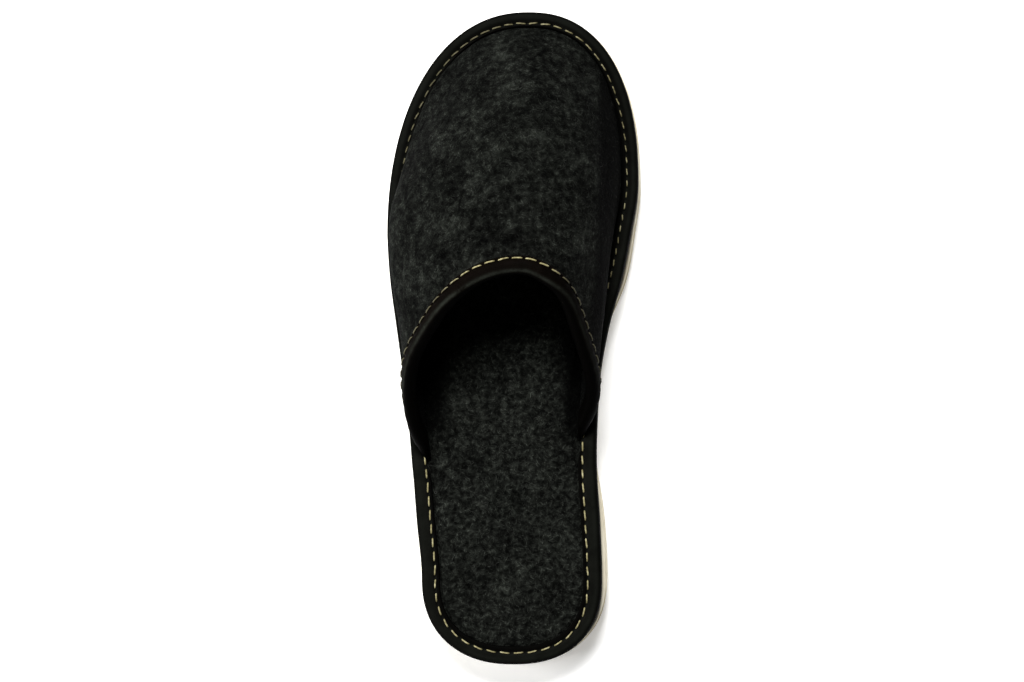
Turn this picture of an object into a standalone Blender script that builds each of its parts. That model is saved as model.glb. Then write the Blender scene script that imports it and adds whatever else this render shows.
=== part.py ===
"""A felt house slipper for the left foot, open at the heel.

Metres, +Z up, +Y towards the toe, +X towards the inner side of the foot.
The origin is on the floor, under the middle of the sole.

The pieces, as a maker puts them together:
  outsole         light foam rubber, a low wedge with a little toe spring
  insole          felt on board, with a rebate below its rim for the edge binding
  vamp            the felt upper, one hollow wall with a flat margin at its foot
  edge_binding    a folded strip that holds insole and vamp margin together, all round
  collar_binding  a folded strip over the vamp's back edge
"""

import math

import bmesh
import bpy
import numpy as np

MM = 0.001

# Driving sizes. The outline is that of the edge binding, which the sole stands a little proud of.
LENGTH = 280.0 * MM
BALL_WIDTH = 108.5 * MM
SOLE_REACH = 2.0 * MM
SOLE_STEP_DEPTH = 0.7 * MM
SOLE_STEP_DROP = 4.2 * MM
FOREFOOT_THICKNESS = 9.5 * MM
HEEL_RISE = 6.0 * MM
TOE_SPRING = 8.0 * MM
ARCH_LIFT = 2.5 * MM
SOLE_EDGE_ROUND = 2.2 * MM
SOLE_TOP_ROUND = 0.7 * MM
INSOLE_THICKNESS = 4.5 * MM
INSOLE_PUFF = 1.3 * MM
PAD_ROUND = 3.5 * MM
VAMP_RISE = 54.0 * MM
FELT_THICKNESS = 3.0 * MM
MARGIN_THICKNESS = 1.6 * MM
THINNING_RISE = 9.0 * MM
VAMP_BULGE = 8.1 * MM
BINDING_THICKNESS = 1.2 * MM
BINDING_TOP_WIDTH = 6.4 * MM
BINDING_EXTRA_AT_HEEL = 1.5 * MM
BINDING_BOTTOM_WIDTH = 9.0 * MM
BINDING_ROUND = 1.0 * MM
COLLAR_THICKNESS = 1.0 * MM
COLLAR_WIDTH = 6.5 * MM
GAP = 0.3 * MM

# Where the vamp's wall rises, just inside the binding's upper lip, and where the insole's pad
# starts, in the open heel and under the vamp.
FEATHER_INSET = BINDING_TOP_WIDTH + 3 * GAP
PAD_INSET_OPEN = BINDING_TOP_WIDTH + BINDING_EXTRA_AT_HEEL + 1.5 * GAP
PAD_INSET_COVERED = FEATHER_INSET + FELT_THICKNESS + 4 * GAP

# Where the round ends of the outline begin, as shares of the length from the heel, and how full
# they are: 2 is an ellipse, and more is squarer. The toe's tip lies towards the inner side.
HEEL_START = {"outer": 0.13, "inner": 0.13}
TOE_START = {"outer": 0.66, "inner": 0.74}
HEEL_FULLNESS = {"outer": 2.24, "inner": 2.34}
TOE_FULLNESS = {"outer": 2.17, "inner": 2.35}
TOE_TIP_SHARE = 0.062

# The outline between its round ends: half widths as shares of the ball width.
OUTLINE_COLUMNS = ("along", "outer", "inner")
OUTLINE_ROWS = (
    (0.13, 0.358, 0.356),
    (0.22, 0.378, 0.348),
    (0.31, 0.397, 0.335),
    (0.38, 0.414, 0.339),
    (0.45, 0.437, 0.352),
    (0.52, 0.463, 0.385),
    (0.59, 0.488, 0.434),
    (0.66, 0.500, 0.470),
    (0.74, 0.500, 0.500),
)

# How far the sole stands out past the binding, as shares of SOLE_REACH. It is cut in at the waist.
SOLE_COLUMNS = ("along", "outer", "inner")
SOLE_ROWS = (
    (0.00, 0.50, 0.50),
    (0.08, 0.50, 1.00),
    (0.24, 0.50, 0.80),
    (0.34, 0.20, -0.50),
    (0.50, 0.10, -0.50),
    (0.60, 0.40, 1.00),
    (0.68, 0.50, 0.80),
    (0.76, 0.50, 0.50),
    (0.90, 0.50, 0.50),
    (1.00, 0.50, 0.50),
)

# The vamp's sections. crest is the height of its ridge over the margin, as a share of
# VAMP_RISE. arch rounds the top of a section and wall steepens its foot. The bulges, as
# shares of VAMP_BULGE, push each side out over the binding.
VAMP_COLUMNS = ("along", "crest", "arch", "wall", "outer_bulge", "inner_bulge")
VAMP_ROWS = (
    (0.28, 1.14, 2.8, 2.1, 0.80, 0.80),
    (0.45, 1.10, 2.6, 2.1, 0.90, 0.95),
    (0.53, 1.06, 2.4, 2.1, 0.95, 0.75),
    (0.61, 1.00, 2.3, 2.1, 0.95, 0.22),
    (0.70, 0.88, 2.2, 2.0, 0.75, 0.03),
    (0.78, 0.75, 2.1, 1.8, 0.25, 0.00),
    (0.86, 0.61, 2.1, 1.6, 0.00, 0.00),
    (1.00, 0.36, 2.0, 1.3, 0.00, 0.00),
)

# The ridge's distance from the axis at its back, as a share of the ball width. The sections fan
# round the toe from the pivot on, with a soft start.
CREST_OFFSET_SHARE = 0.05
TOE_PIVOT_SHARE = 0.80
PIVOT_SOFTNESS_SHARE = 0.03

# The vamp's back edge. turn goes over a section, from 0 at the outer foot to 1 at the inner one.
COLLAR_COLUMNS = ("turn", "along")
COLLAR_ROWS = (
    (0.00, 0.312),
    (0.05, 0.352),
    (0.15, 0.458),
    (0.22, 0.505),
    (0.30, 0.551),
    (0.40, 0.589),
    (0.50, 0.601),
    (0.60, 0.585),
    (0.70, 0.554),
    (0.80, 0.493),
    (0.90, 0.420),
    (1.00, 0.345),
)

# Behind the vamp's foot the binding's lip comes down to the insole, between these two distances.
COVER_RAMP_SHARES = (0.035, 0.006)

# The sole's side view, as shares of the length: the wedge runs out forward, the arch is
# lifted between the flat heel and the flat forefoot, and the toe springs up.
WEDGE = (0.22, 0.60)
ARCH = (0.30, 0.54)
SPRING_START_SHARE = 0.74

# Facets, and where the loops of a flat face lie between its rim and the middle line.
CORE_SHARES = (0.0, 0.25, 0.55, 1.0)
STATION_SPACE_SHARE = 0.012
HEEL_STEPS = 7
SIDE_STEPS = 13
TOE_STEPS = 13
VAMP_TURNS = 40
VAMP_STEPS = 28
FOLD_STEPS = 6

FELT_GREY = (0.018, 0.019, 0.017, 1.0)
BINDING_BLACK = (0.012, 0.012, 0.012, 1.0)
SOLE_CREAM = (0.62, 0.56, 0.42, 1.0)


def smooth_step(low, high, value):
    """0 below low, 1 above high, and an S curve between them."""
    share = np.clip((value - low) / (high - low), 0.0, 1.0)
    return share * share * (3.0 - 2.0 * share)


def table_curve(columns, rows, wanted, place, flat_ends=True):
    """A column of a table as a smooth curve through its rows, read at place."""
    knots = np.array([row[0] for row in rows])
    values = np.array([row[columns.index(wanted)] for row in rows])
    slopes = np.gradient(values, knots)
    if flat_ends:
        slopes[0] = slopes[-1] = 0.0
    place = np.clip(place, knots[0], knots[-1])
    i = np.clip(np.searchsorted(knots, place, side="right") - 1, 0, len(knots) - 2)
    span = knots[i + 1] - knots[i]
    t = (place - knots[i]) / span
    return (
        (2 * t**3 - 3 * t**2 + 1) * values[i]
        + (t**3 - 2 * t**2 + t) * span * slopes[i]
        + (3 * t**2 - 2 * t**3) * values[i + 1]
        + (t**3 - t**2) * span * slopes[i + 1]
    )


def half_width(side, along):
    """Distance of one side of the outline from the axis, between the round ends."""
    return BALL_WIDTH * table_curve(OUTLINE_COLUMNS, OUTLINE_ROWS, side, along)


def outline(side, along, inset=0.0):
    """Plan points of one side of the outline, moved inwards by inset along its normal."""
    along = np.asarray(along, float)
    sign = -1.0 if side == "outer" else 1.0
    y = LENGTH * (along - 0.5)
    step = 1e-4
    slope = half_width(side, along + step) - half_width(side, along - step)
    x = sign * half_width(side, along)
    normal_x = np.full_like(along, sign)
    normal_y = -slope / (2 * step * LENGTH)
    heel, toe = HEEL_START[side], TOE_START[side]
    ends = (
        (along < heel, -1.0, heel, heel, HEEL_FULLNESS[side], 0.0),
        (along > toe, 1.0, toe, 1 - toe, TOE_FULLNESS[side], TOE_TIP_SHARE),
    )
    for inside, forward, start, depth, fullness, tip_share in ends:
        tip = tip_share * BALL_WIDTH
        reach = half_width(side, np.array(start)) - sign * tip
        t = np.clip(np.abs(along - start) / depth, 0.0, 1.0)
        u = (1.0 - t**fullness) ** (1.0 / fullness)
        x = np.where(inside, tip + sign * reach * u, x)
        across = sign * u ** (fullness - 1) / reach
        lengthways = forward * t ** (fullness - 1) / (depth * LENGTH)
        normal_x = np.where(inside, across, normal_x)
        normal_y = np.where(inside, lengthways, normal_y)
    size = np.hypot(normal_x, normal_y)
    return x - inset * normal_x / size, y - inset * normal_y / size


def ring_stations():
    """Shares of the length, close together round the heel and the toe and at the vamp's ends."""
    heel_start, toe_start = HEEL_START["outer"], TOE_START["outer"]
    heel = heel_start * (1 - np.cos(np.linspace(0, math.pi / 2, HEEL_STEPS + 1)))
    middle = np.linspace(heel_start, toe_start, SIDE_STEPS + 1)
    toe = toe_start + (1 - toe_start) * np.sin(np.linspace(0, math.pi / 2, TOE_STEPS + 1))
    ends = [COLLAR_ROWS[row][1] - back for row in (0, -1) for back in COVER_RAMP_SHARES]
    distance = np.abs(middle[:, None] - np.array(ends)[None, :])
    near = np.min(distance, axis=1) < STATION_SPACE_SHARE
    return np.concatenate([heel, np.sort(np.append(middle[~near][1:], ends)), toe[1:]])


def ring(inset):
    """The whole outline as a loop, at an inset that may change along it, as x and y."""
    along = ring_stations()
    insets = {s: inset(s, along) if callable(inset) else inset for s in ("outer", "inner")}
    outer_x, outer_y = outline("outer", along, insets["outer"])
    inner_x, inner_y = outline("inner", along, insets["inner"])
    x = np.concatenate([outer_x, inner_x[-2:0:-1]])
    y = np.concatenate([outer_y, inner_y[-2:0:-1]])
    return x, y


def core_ring(share):
    """A loop that lies the given share of the way from the binding's lower lip to the middle line."""
    along = ring_stations()
    x, y = ring(BINDING_BOTTOM_WIDTH + GAP)
    spine_along = np.clip(along, HEEL_START["outer"], TOE_PIVOT_SHARE)
    outer_x, spine_y = outline("outer", spine_along)
    inner_x, _ = outline("inner", spine_along)
    middle = (outer_x + inner_x) / 2
    middle = np.concatenate([middle, middle[-2:0:-1]])
    spine_y = np.concatenate([spine_y, spine_y[-2:0:-1]])
    return x + (middle - x) * share, y + (spine_y - y) * share


def along_of(y):
    return y / LENGTH + 0.5


def sole_bottom(y):
    along = along_of(y)
    spring = np.clip((along - SPRING_START_SHARE) / (1 - SPRING_START_SHARE), 0, None) ** 2
    low, high = ARCH
    arch = np.sin(math.pi * np.clip((along - low) / (high - low), 0, 1)) ** 2
    return TOE_SPRING * spring + ARCH_LIFT * arch


def sole_top(y):
    along = along_of(y)
    spring = np.clip((along - SPRING_START_SHARE) / (1 - SPRING_START_SHARE), 0, None) ** 2
    wedge = 1 - smooth_step(*WEDGE, along)
    return FOREFOOT_THICKNESS + HEEL_RISE * wedge + TOE_SPRING * spring


def glue_line(y):
    """Underside of the insole's middle and of the binding's lower lip."""
    return sole_top(y) + GAP


def rebate(y):
    """Underside of the insole's rim, over the binding's lower lip."""
    return glue_line(y) + BINDING_THICKNESS + GAP


def seat(y):
    """Top of the insole's rim, where the vamp's margin or the binding lies."""
    return rebate(y) + INSOLE_THICKNESS


def pad_top(y):
    return seat(y) + INSOLE_PUFF


def margin_top(y):
    return seat(y) + GAP + MARGIN_THICKNESS


def collar_along(turn):
    return table_curve(COLLAR_COLUMNS, COLLAR_ROWS, "along", turn, flat_ends=False)


def vamp_cover(side, along):
    """1 where the vamp's margin lies under the binding and 0 behind it, with a ramp between."""
    end = COLLAR_ROWS[0 if side == "outer" else -1][1]
    back, front = COVER_RAMP_SHARES
    return smooth_step(end - back, end - front, along)


def cover_ring():
    along = ring_stations()
    outer = vamp_cover("outer", along)
    inner = vamp_cover("inner", along)
    return np.concatenate([outer, inner[-2:0:-1]])


def vamp_surface(along, turn):
    """Points of the vamp's outer face.

    Each section is an arch from the feather line up to a ridge. turn * pi is the arch's
    angle, its cosine is the share of the way out from the ridge, and the height is
    (1 - cosine ** arch) ** (1 / wall). Round the toe the sections fan about one point.
    """
    along, turn = np.broadcast_arrays(np.asarray(along, float), np.asarray(turn, float))
    angle = math.pi * turn
    out = np.abs(np.cos(angle))
    is_outer = turn < 0.5
    columns = {c: table_curve(VAMP_COLUMNS, VAMP_ROWS, c, along) for c in VAMP_COLUMNS[2:]}
    height = (1 - out ** columns["arch"]) ** (1 / columns["wall"])
    foot = {s: outline(s, along, FEATHER_INSET) for s in ("outer", "inner")}
    edge = {s: outline(s, along) for s in ("outer", "inner")}
    foot_x = np.where(is_outer, foot["outer"][0], foot["inner"][0])
    foot_y = np.where(is_outer, foot["outer"][1], foot["inner"][1])
    out_x = (np.where(is_outer, edge["outer"][0], edge["inner"][0]) - foot_x) / FEATHER_INSET
    out_y = (np.where(is_outer, edge["outer"][1], edge["inner"][1]) - foot_y) / FEATHER_INSET
    spine_along = TOE_PIVOT_SHARE - PIVOT_SOFTNESS_SHARE * np.logaddexp(
        0, (TOE_PIVOT_SHARE - along) / PIVOT_SOFTNESS_SHARE
    )
    forward = smooth_step(0.3, TOE_PIVOT_SHARE, spine_along)
    spine_x = BALL_WIDTH * (CREST_OFFSET_SHARE + (TOE_TIP_SHARE - CREST_OFFSET_SHARE) * forward)
    spine_y = LENGTH * (spine_along - 0.5)
    bulge_share = np.where(is_outer, columns["outer_bulge"], columns["inner_bulge"])
    bulge = VAMP_BULGE * bulge_share * np.sin(math.pi * height**0.7) ** 2
    x = spine_x + (foot_x - spine_x) * out + out_x * bulge
    y = spine_y + (foot_y - spine_y) * out + out_y * bulge
    crest = VAMP_RISE * table_curve(VAMP_COLUMNS, VAMP_ROWS, "crest", along_of(y), False)
    z = margin_top(foot_y) + height * (crest + margin_top(y) - margin_top(foot_y))
    return np.stack([x, y, z], axis=-1)


def material(name, colour, roughness):
    made = bpy.data.materials.new(name)
    made.use_nodes = True
    shader = made.node_tree.nodes["Principled BSDF"]
    shader.inputs["Base Color"].default_value = colour
    shader.inputs["Roughness"].default_value = roughness
    made.diffuse_color = colour
    return made


def add_object(name, points, faces, finish, is_sheet=False):
    """A mesh object with coincident points joined. A solid's faces are turned outward."""
    mesh = bpy.data.meshes.new(name)
    mesh.from_pydata([tuple(p) for p in points], [], faces)
    work = bmesh.new()
    work.from_mesh(mesh)
    bmesh.ops.remove_doubles(work, verts=work.verts, dist=0.01 * MM)
    if not is_sheet:
        bmesh.ops.recalc_face_normals(work, faces=work.faces)
    work.to_mesh(mesh)
    work.free()
    mesh.materials.append(finish)
    mesh.shade_smooth()
    made = bpy.data.objects.new(name, mesh)
    bpy.data.collections["felt_slipper"].objects.link(made)
    return made


def loft_faces(rows, columns, close_rows=False, close_columns=False):
    """Quads of a grid of rows by columns of points."""
    last_row = rows if close_rows else rows - 1
    last_column = columns if close_columns else columns - 1
    faces = []
    for r in range(last_row):
        for c in range(last_column):
            next_r, next_c = (r + 1) % rows, (c + 1) % columns
            faces.append(
                (
                    r * columns + c,
                    r * columns + next_c,
                    next_r * columns + next_c,
                    next_r * columns + c,
                )
            )
    return faces


def stacked_rings(name, rings, finish, closed_section=False):
    """A solid lofted through rings of (x, y, z). Its first and last ring may lie on the spine."""
    points = np.concatenate([np.stack(r, axis=-1) for r in rings])
    count = len(rings[0][0])
    faces = loft_faces(len(rings), count, close_rows=closed_section, close_columns=True)
    return add_object(name, points, faces, finish)


def at_height(plan, height):
    """A ring's plan with its heights from a function of y."""
    x, y = plan
    return x, y, height(y)


def core_rings(height):
    """Loops that close a flat face from the binding's lower lip in to the middle line."""
    return [at_height(core_ring(share), height) for share in CORE_SHARES]


def make_outsole(finish):
    """Flat bottom, a rounded lower edge, a side with one step in it, and a flat top."""
    edge = SOLE_EDGE_ROUND

    def side_inset(edge_inset):
        def inset(side, along):
            return edge_inset - SOLE_REACH * table_curve(SOLE_COLUMNS, SOLE_ROWS, side, along)

        return inset

    rings = core_rings(sole_bottom)[::-1]
    for turn in (0.0, 0.5, 1.0):
        angle = turn * math.pi / 2
        inset = side_inset(edge * (1 - math.sin(angle)))
        rise = edge * (1 - math.cos(angle))
        rings.append(at_height(ring(inset), lambda y, rise=rise: sole_bottom(y) + rise))
    upper_edge = (
        (0.0, SOLE_STEP_DROP),
        (SOLE_STEP_DEPTH, SOLE_STEP_DROP - SOLE_STEP_DEPTH),
        (SOLE_STEP_DEPTH, SOLE_TOP_ROUND),
        (SOLE_STEP_DEPTH + SOLE_TOP_ROUND, 0.0),
    )
    for inset, drop in upper_edge:
        rings.append(at_height(ring(side_inset(inset)), lambda y, drop=drop: sole_top(y) - drop))
    return stacked_rings("outsole", rings + core_rings(sole_top), finish)


def make_insole(finish):
    """Board and felt as one: rebated below for the binding, and padded up on top."""
    rim_inset = BINDING_THICKNESS + GAP

    def pad_inset(extra):
        def inset(side, along):
            cover = vamp_cover(side, along)
            return PAD_INSET_OPEN + (PAD_INSET_COVERED - PAD_INSET_OPEN) * cover + extra

        return inset

    rings = core_rings(glue_line)[::-1]
    rings += [
        at_height(ring(BINDING_BOTTOM_WIDTH + GAP), rebate),
        at_height(ring(rim_inset), rebate),
        at_height(ring(rim_inset), seat),
        at_height(ring(pad_inset(0.0)), seat),
        at_height(ring(pad_inset(0.4 * PAD_ROUND)), lambda y: seat(y) + 0.7 * INSOLE_PUFF),
        at_height(ring(pad_inset(PAD_ROUND)), pad_top),
    ]
    rings += [at_height(core_ring(share), pad_top) for share in CORE_SHARES[2:]]
    return stacked_rings("insole", rings, finish)


def make_edge_binding(finish):
    """A strip folded over the rim: a lip above, a wall outside and a wider lip below."""
    thick, soft = BINDING_THICKNESS, BINDING_ROUND
    lift = cover_ring() * (GAP + MARGIN_THICKNESS)

    def lip(y):
        return seat(y) + lift + GAP

    def top_inset(back):
        def inset(side, along):
            extra = BINDING_EXTRA_AT_HEEL * (1 - vamp_cover(side, along))
            return BINDING_TOP_WIDTH + extra - back

        return inset

    section = (
        (BINDING_BOTTOM_WIDTH, glue_line, 0.0),
        (soft, glue_line, 0.0),
        (0.0, glue_line, soft),
        (0.0, lip, thick - 1.3 * soft),
        (0.35 * soft, lip, thick - 0.4 * soft),
        (1.4 * soft, lip, thick),
        (top_inset(0.3 * thick), lip, thick),
        (top_inset(0.0), lip, 0.6 * thick),
        (top_inset(0.0), lip, 0.0),
        (thick, lip, 0.0),
        (thick, glue_line, thick),
        (BINDING_BOTTOM_WIDTH, glue_line, thick),
    )
    rings = []
    for inset, base, rise in section:
        x, y = ring(inset)
        rings.append((x, y, base(y) + rise))
    return stacked_rings("edge_binding", rings, finish, closed_section=True)


def make_vamp(finish):
    """An open sheet over the sections, with a flat margin at its foot, thickened inwards."""
    turns = np.linspace(0, 1, VAMP_TURNS + 1)
    steps = np.sin(np.linspace(0, math.pi / 2, VAMP_STEPS + 1))
    start = collar_along(turns)[:, None]
    along = start + (1 - start) * steps[None, :]
    wall = vamp_surface(along, turns[:, None])
    margin_insets = (BINDING_THICKNESS + 2 * GAP, 0.6 * FEATHER_INSET)

    def margin(side, column, inset):
        x, y = outline(side, along[column], inset)
        return np.stack([x, y, margin_top(y)], axis=-1)

    outer = [margin("outer", 0, inset) for inset in margin_insets]
    inner = [margin("inner", -1, inset) for inset in margin_insets[::-1]]
    grid = np.concatenate([outer, wall, inner])
    rows, columns = grid.shape[:2]
    faces = [face[::-1] for face in loft_faces(rows, columns)]
    vamp = add_object("vamp", grid.reshape(-1, 3), faces, finish, is_sheet=True)
    thin = MARGIN_THICKNESS / FELT_THICKNESS
    group = vamp.vertex_groups.new(name="thickness")
    for vertex in vamp.data.vertices:
        x, y, z = vertex.co
        above = z - float(margin_top(np.array(y)))
        share = float(smooth_step(0.1 * THINNING_RISE, THINNING_RISE, above))
        group.add([vertex.index], thin + (1 - thin) * share, "REPLACE")
    shell = vamp.modifiers.new("wall", "SOLIDIFY")
    shell.thickness = FELT_THICKNESS
    shell.offset = -1.0
    shell.vertex_group = "thickness"
    return vamp


def vamp_frame(along, turn):
    """Point, two directions in the surface and outward normal at places on the vamp."""
    step = 1e-4
    point = vamp_surface(along, turn)
    by_along = (vamp_surface(along + step, turn) - vamp_surface(along - step, turn)) / (2 * step)
    by_turn = (vamp_surface(along, turn + step) - vamp_surface(along, turn - step)) / (2 * step)
    normal = np.cross(by_turn, by_along)
    normal /= np.linalg.norm(normal, axis=-1, keepdims=True)
    return point, by_along, by_turn, normal


def collar_section():
    """The folded strip's section: how far into the felt, and how far out from its face."""
    thick, width = COLLAR_THICKNESS, COLLAR_WIDTH
    outer_face, inner_face = GAP, -(FELT_THICKNESS + 1.5 * GAP)
    legs_out = [(width, outer_face), (width, outer_face + 0.6 * thick)]
    legs_out += [(0.85 * width, outer_face + thick), (0.4 * width, outer_face + thick)]
    middle = (outer_face + inner_face) / 2
    half = (outer_face - inner_face) / 2 + thick
    fold = []
    for i in range(FOLD_STEPS + 1):
        angle = math.pi * (0.5 - i / FOLD_STEPS)
        fold.append((-(GAP + 1.3 * thick) * math.cos(angle), middle + half * math.sin(angle)))
    legs_in = [(0.5 * width, inner_face - thick), (width, inner_face - thick)]
    inside = [(width, inner_face), (0.5 * width, inner_face), (-GAP, inner_face)]
    inside += [(-GAP, outer_face), (0.5 * width, outer_face)]
    return legs_out + fold + legs_in + inside


def make_collar_binding(finish):
    """The section carried along the vamp's back edge. Near its ends it turns square to them."""
    end_turn = 0.7 / VAMP_TURNS
    turn = np.linspace(0, 1, VAMP_TURNS + 1)
    turn[[0, -1]] = end_turn, 1 - end_turn
    along = collar_along(turn)
    point, by_along, by_turn, normal = vamp_frame(along, turn)
    tangent = np.gradient(point, axis=0)
    tangent /= np.linalg.norm(tangent, axis=-1, keepdims=True)
    into_felt = np.cross(tangent, normal)
    towards_toe = np.sum(into_felt * by_along, axis=-1, keepdims=True)
    into_felt *= np.sign(towards_toe)
    along_length = np.linalg.norm(by_along, axis=-1)
    turn_length = np.linalg.norm(by_turn, axis=-1)
    mix = np.sum(by_along * by_turn, axis=-1)
    a = np.sum(into_felt * by_along, axis=-1)
    b = np.sum(into_felt * by_turn, axis=-1)
    det = along_length**2 * turn_length**2 - mix**2
    along_rate = (a * turn_length**2 - b * mix) / det
    turn_rate = (b * along_length**2 - a * mix) / det
    from_end = np.minimum(turn, 1 - turn)
    square = smooth_step(end_turn, 0.12, from_end)
    along_rate = square * along_rate + (1 - square) / along_length
    turn_rate = square * turn_rate
    rows = []
    for depth, out in collar_section():
        if depth > 0:
            place, _, _, face = vamp_frame(along + depth * along_rate, turn + depth * turn_rate)
        else:
            place, face = point + depth * into_felt, normal
        rows.append(place + out * face)
    grid = np.stack(rows, axis=1)
    steps, count = grid.shape[:2]
    faces = loft_faces(steps, count, close_columns=True)
    faces.append(tuple(range(count)))
    faces.append(tuple(range((steps - 1) * count, steps * count))[::-1])
    return add_object("collar_binding", grid.reshape(-1, 3), faces, finish)


def main():
    for old in list(bpy.data.objects):
        bpy.data.objects.remove(old)
    collection = bpy.data.collections.new("felt_slipper")
    bpy.context.scene.collection.children.link(collection)
    felt = material("grey felt", FELT_GREY, 0.95)
    trim = material("black leatherette", BINDING_BLACK, 0.55)
    make_outsole(material("cream foam rubber", SOLE_CREAM, 0.7))
    make_insole(felt)
    make_vamp(felt)
    make_edge_binding(trim)
    make_collar_binding(trim)


main()
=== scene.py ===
"""A felt house slipper for the left foot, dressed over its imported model.

Metres, +Z up, +Y towards the toe, +X towards the inner side of the foot. The origin is on the
floor, under the middle of the sole. Each solid of the model is replaced by a finer piece of the
same form, worked out from the same sizes and tables, and the threads, the lining and the loose
wool fibres are added.
"""

import math
import bmesh
import bpy
import numpy as np
from mathutils import Matrix, Vector


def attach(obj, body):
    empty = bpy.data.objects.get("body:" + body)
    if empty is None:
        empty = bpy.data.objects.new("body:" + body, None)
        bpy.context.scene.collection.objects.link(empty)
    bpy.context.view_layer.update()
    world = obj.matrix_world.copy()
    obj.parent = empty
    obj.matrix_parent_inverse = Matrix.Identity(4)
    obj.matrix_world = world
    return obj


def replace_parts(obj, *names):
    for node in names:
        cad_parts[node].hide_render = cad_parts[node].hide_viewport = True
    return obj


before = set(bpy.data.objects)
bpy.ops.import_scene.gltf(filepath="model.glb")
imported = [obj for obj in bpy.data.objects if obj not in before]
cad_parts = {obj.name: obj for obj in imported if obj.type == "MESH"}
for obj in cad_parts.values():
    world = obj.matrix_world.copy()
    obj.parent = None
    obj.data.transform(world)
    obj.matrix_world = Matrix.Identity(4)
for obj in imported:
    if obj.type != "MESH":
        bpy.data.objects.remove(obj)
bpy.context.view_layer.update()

MM = 0.001

# Sizes that the solids are made to. The outline is that of the edge strip.
LENGTH = 280.0 * MM
BALL_WIDTH = 108.5 * MM
SOLE_REACH = 2.0 * MM
SOLE_STEP_DEPTH = 0.7 * MM
SOLE_STEP_DROP = 4.2 * MM
FOREFOOT_THICKNESS = 9.5 * MM
HEEL_RISE = 6.0 * MM
TOE_SPRING = 8.0 * MM
ARCH_LIFT = 2.5 * MM
SOLE_EDGE_ROUND = 2.2 * MM
SOLE_TOP_ROUND = 0.7 * MM
INSOLE_THICKNESS = 4.5 * MM
INSOLE_PUFF = 1.3 * MM
PAD_ROUND = 3.5 * MM
VAMP_RISE = 54.0 * MM
FELT_THICKNESS = 3.0 * MM
MARGIN_THICKNESS = 1.6 * MM
THINNING_RISE = 9.0 * MM
VAMP_BULGE = 8.1 * MM
BINDING_THICKNESS = 1.2 * MM
BINDING_TOP_WIDTH = 6.4 * MM
BINDING_EXTRA_AT_HEEL = 1.5 * MM
BINDING_BOTTOM_WIDTH = 9.0 * MM
COLLAR_THICKNESS = 1.0 * MM
GAP = 0.3 * MM
FEATHER_INSET = BINDING_TOP_WIDTH + 3 * GAP
PAD_INSET_OPEN = BINDING_TOP_WIDTH + BINDING_EXTRA_AT_HEEL + 1.5 * GAP
PAD_INSET_COVERED = FEATHER_INSET + FELT_THICKNESS + 4 * GAP

# Sizes that only the dressed pieces have.
STRIP_ROUND = 2.2 * MM
STRIP_LOWER_ROUND = 1.4 * MM
STRIP_WALL_BULGE = 0.2 * MM
COLLAR_STRIP_WIDTH = 5.8 * MM
COLLAR_STITCH_DEPTH = 4.7 * MM
COLLAR_STITCH_PITCH = 5.65 * MM
COLLAR_STITCH_LENGTH = 4.5 * MM
THREAD_RADIUS = 0.32 * MM
CHANNEL_DEPTH = 0.25 * MM
CHANNEL_WIDTH = 0.8 * MM
NEEDLE_DIMPLE = 0.5 * MM
FELT_PRESS = 1.6 * MM
LINING_THICKNESS = 0.5 * MM
TREAD_DEPTH = 0.9 * MM
TREAD_PITCH = 6.0 * MM
TREAD_BORDER = 6.5 * MM
HEEL_HOLLOW = 0.5 * MM
THREAD_SIDES = 10
THREAD_PLIES = 3
PLY_RELIEF = 0.13
TWIST_PITCH = 1.7 * MM
STITCH_STEPS = 15
STITCH_HEIGHT = 0.42 * MM
STITCH_DIVE = 1.1 * MM

# Points closer than this are merged, and how finely a run is measured along an edge.
MERGE_DISTANCE = 0.004 * MM
OUTLINE_STEPS = 6001
COLLAR_STEPS = 1601
COLLAR_SEAM_ENDS = (0.03, 0.97)

# How many rows, columns and hairs the pieces are made with.
EDGE_STRIP_STEPS = 1150
COLLAR_STRIP_STEPS = 460
VAMP_TURNS = 221
VAMP_STEPS = 141
INSOLE_STATIONS = 331
SOLE_STATIONS = 401
CAP_COLUMNS = 9
RELIEF_COLUMNS = 81
LOOSE_HAIRS = 170
NAP_ON_VAMP = 3600
NAP_ON_FOOTBED = 1500

CAMERA_EYE = (0.055, -0.0009, 1.100)
CAMERA_TARGET = (0.0, -0.0009, 0.020)
CAMERA_SENSOR = 36.0
CAMERA_LENS = 88.3
FLOOR_REACH = 2

SIDES = ("outer", "inner")
HEEL_START = {"outer": 0.13, "inner": 0.13}
TOE_START = {"outer": 0.66, "inner": 0.74}
HEEL_FULLNESS = {"outer": 2.24, "inner": 2.34}
TOE_FULLNESS = {"outer": 2.17, "inner": 2.35}
TOE_TIP_SHARE = 0.062

# Half widths of the outline as shares of the ball width.
OUTLINE_COLUMNS = ("along", "outer", "inner")
OUTLINE_ROWS = (
    (0.13, 0.358, 0.356),
    (0.22, 0.378, 0.348),
    (0.31, 0.397, 0.335),
    (0.38, 0.414, 0.339),
    (0.45, 0.437, 0.352),
    (0.52, 0.463, 0.385),
    (0.59, 0.488, 0.434),
    (0.66, 0.500, 0.470),
    (0.74, 0.500, 0.500),
)

# How far the sole stands out past the strip, as shares of SOLE_REACH.
SOLE_COLUMNS = ("along", "outer", "inner")
SOLE_ROWS = (
    (0.00, 0.50, 0.50),
    (0.08, 0.50, 1.00),
    (0.24, 0.50, 0.80),
    (0.34, 0.20, -0.50),
    (0.50, 0.10, -0.50),
    (0.60, 0.40, 1.00),
    (0.68, 0.50, 0.80),
    (0.76, 0.50, 0.50),
    (0.90, 0.50, 0.50),
    (1.00, 0.50, 0.50),
)

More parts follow.
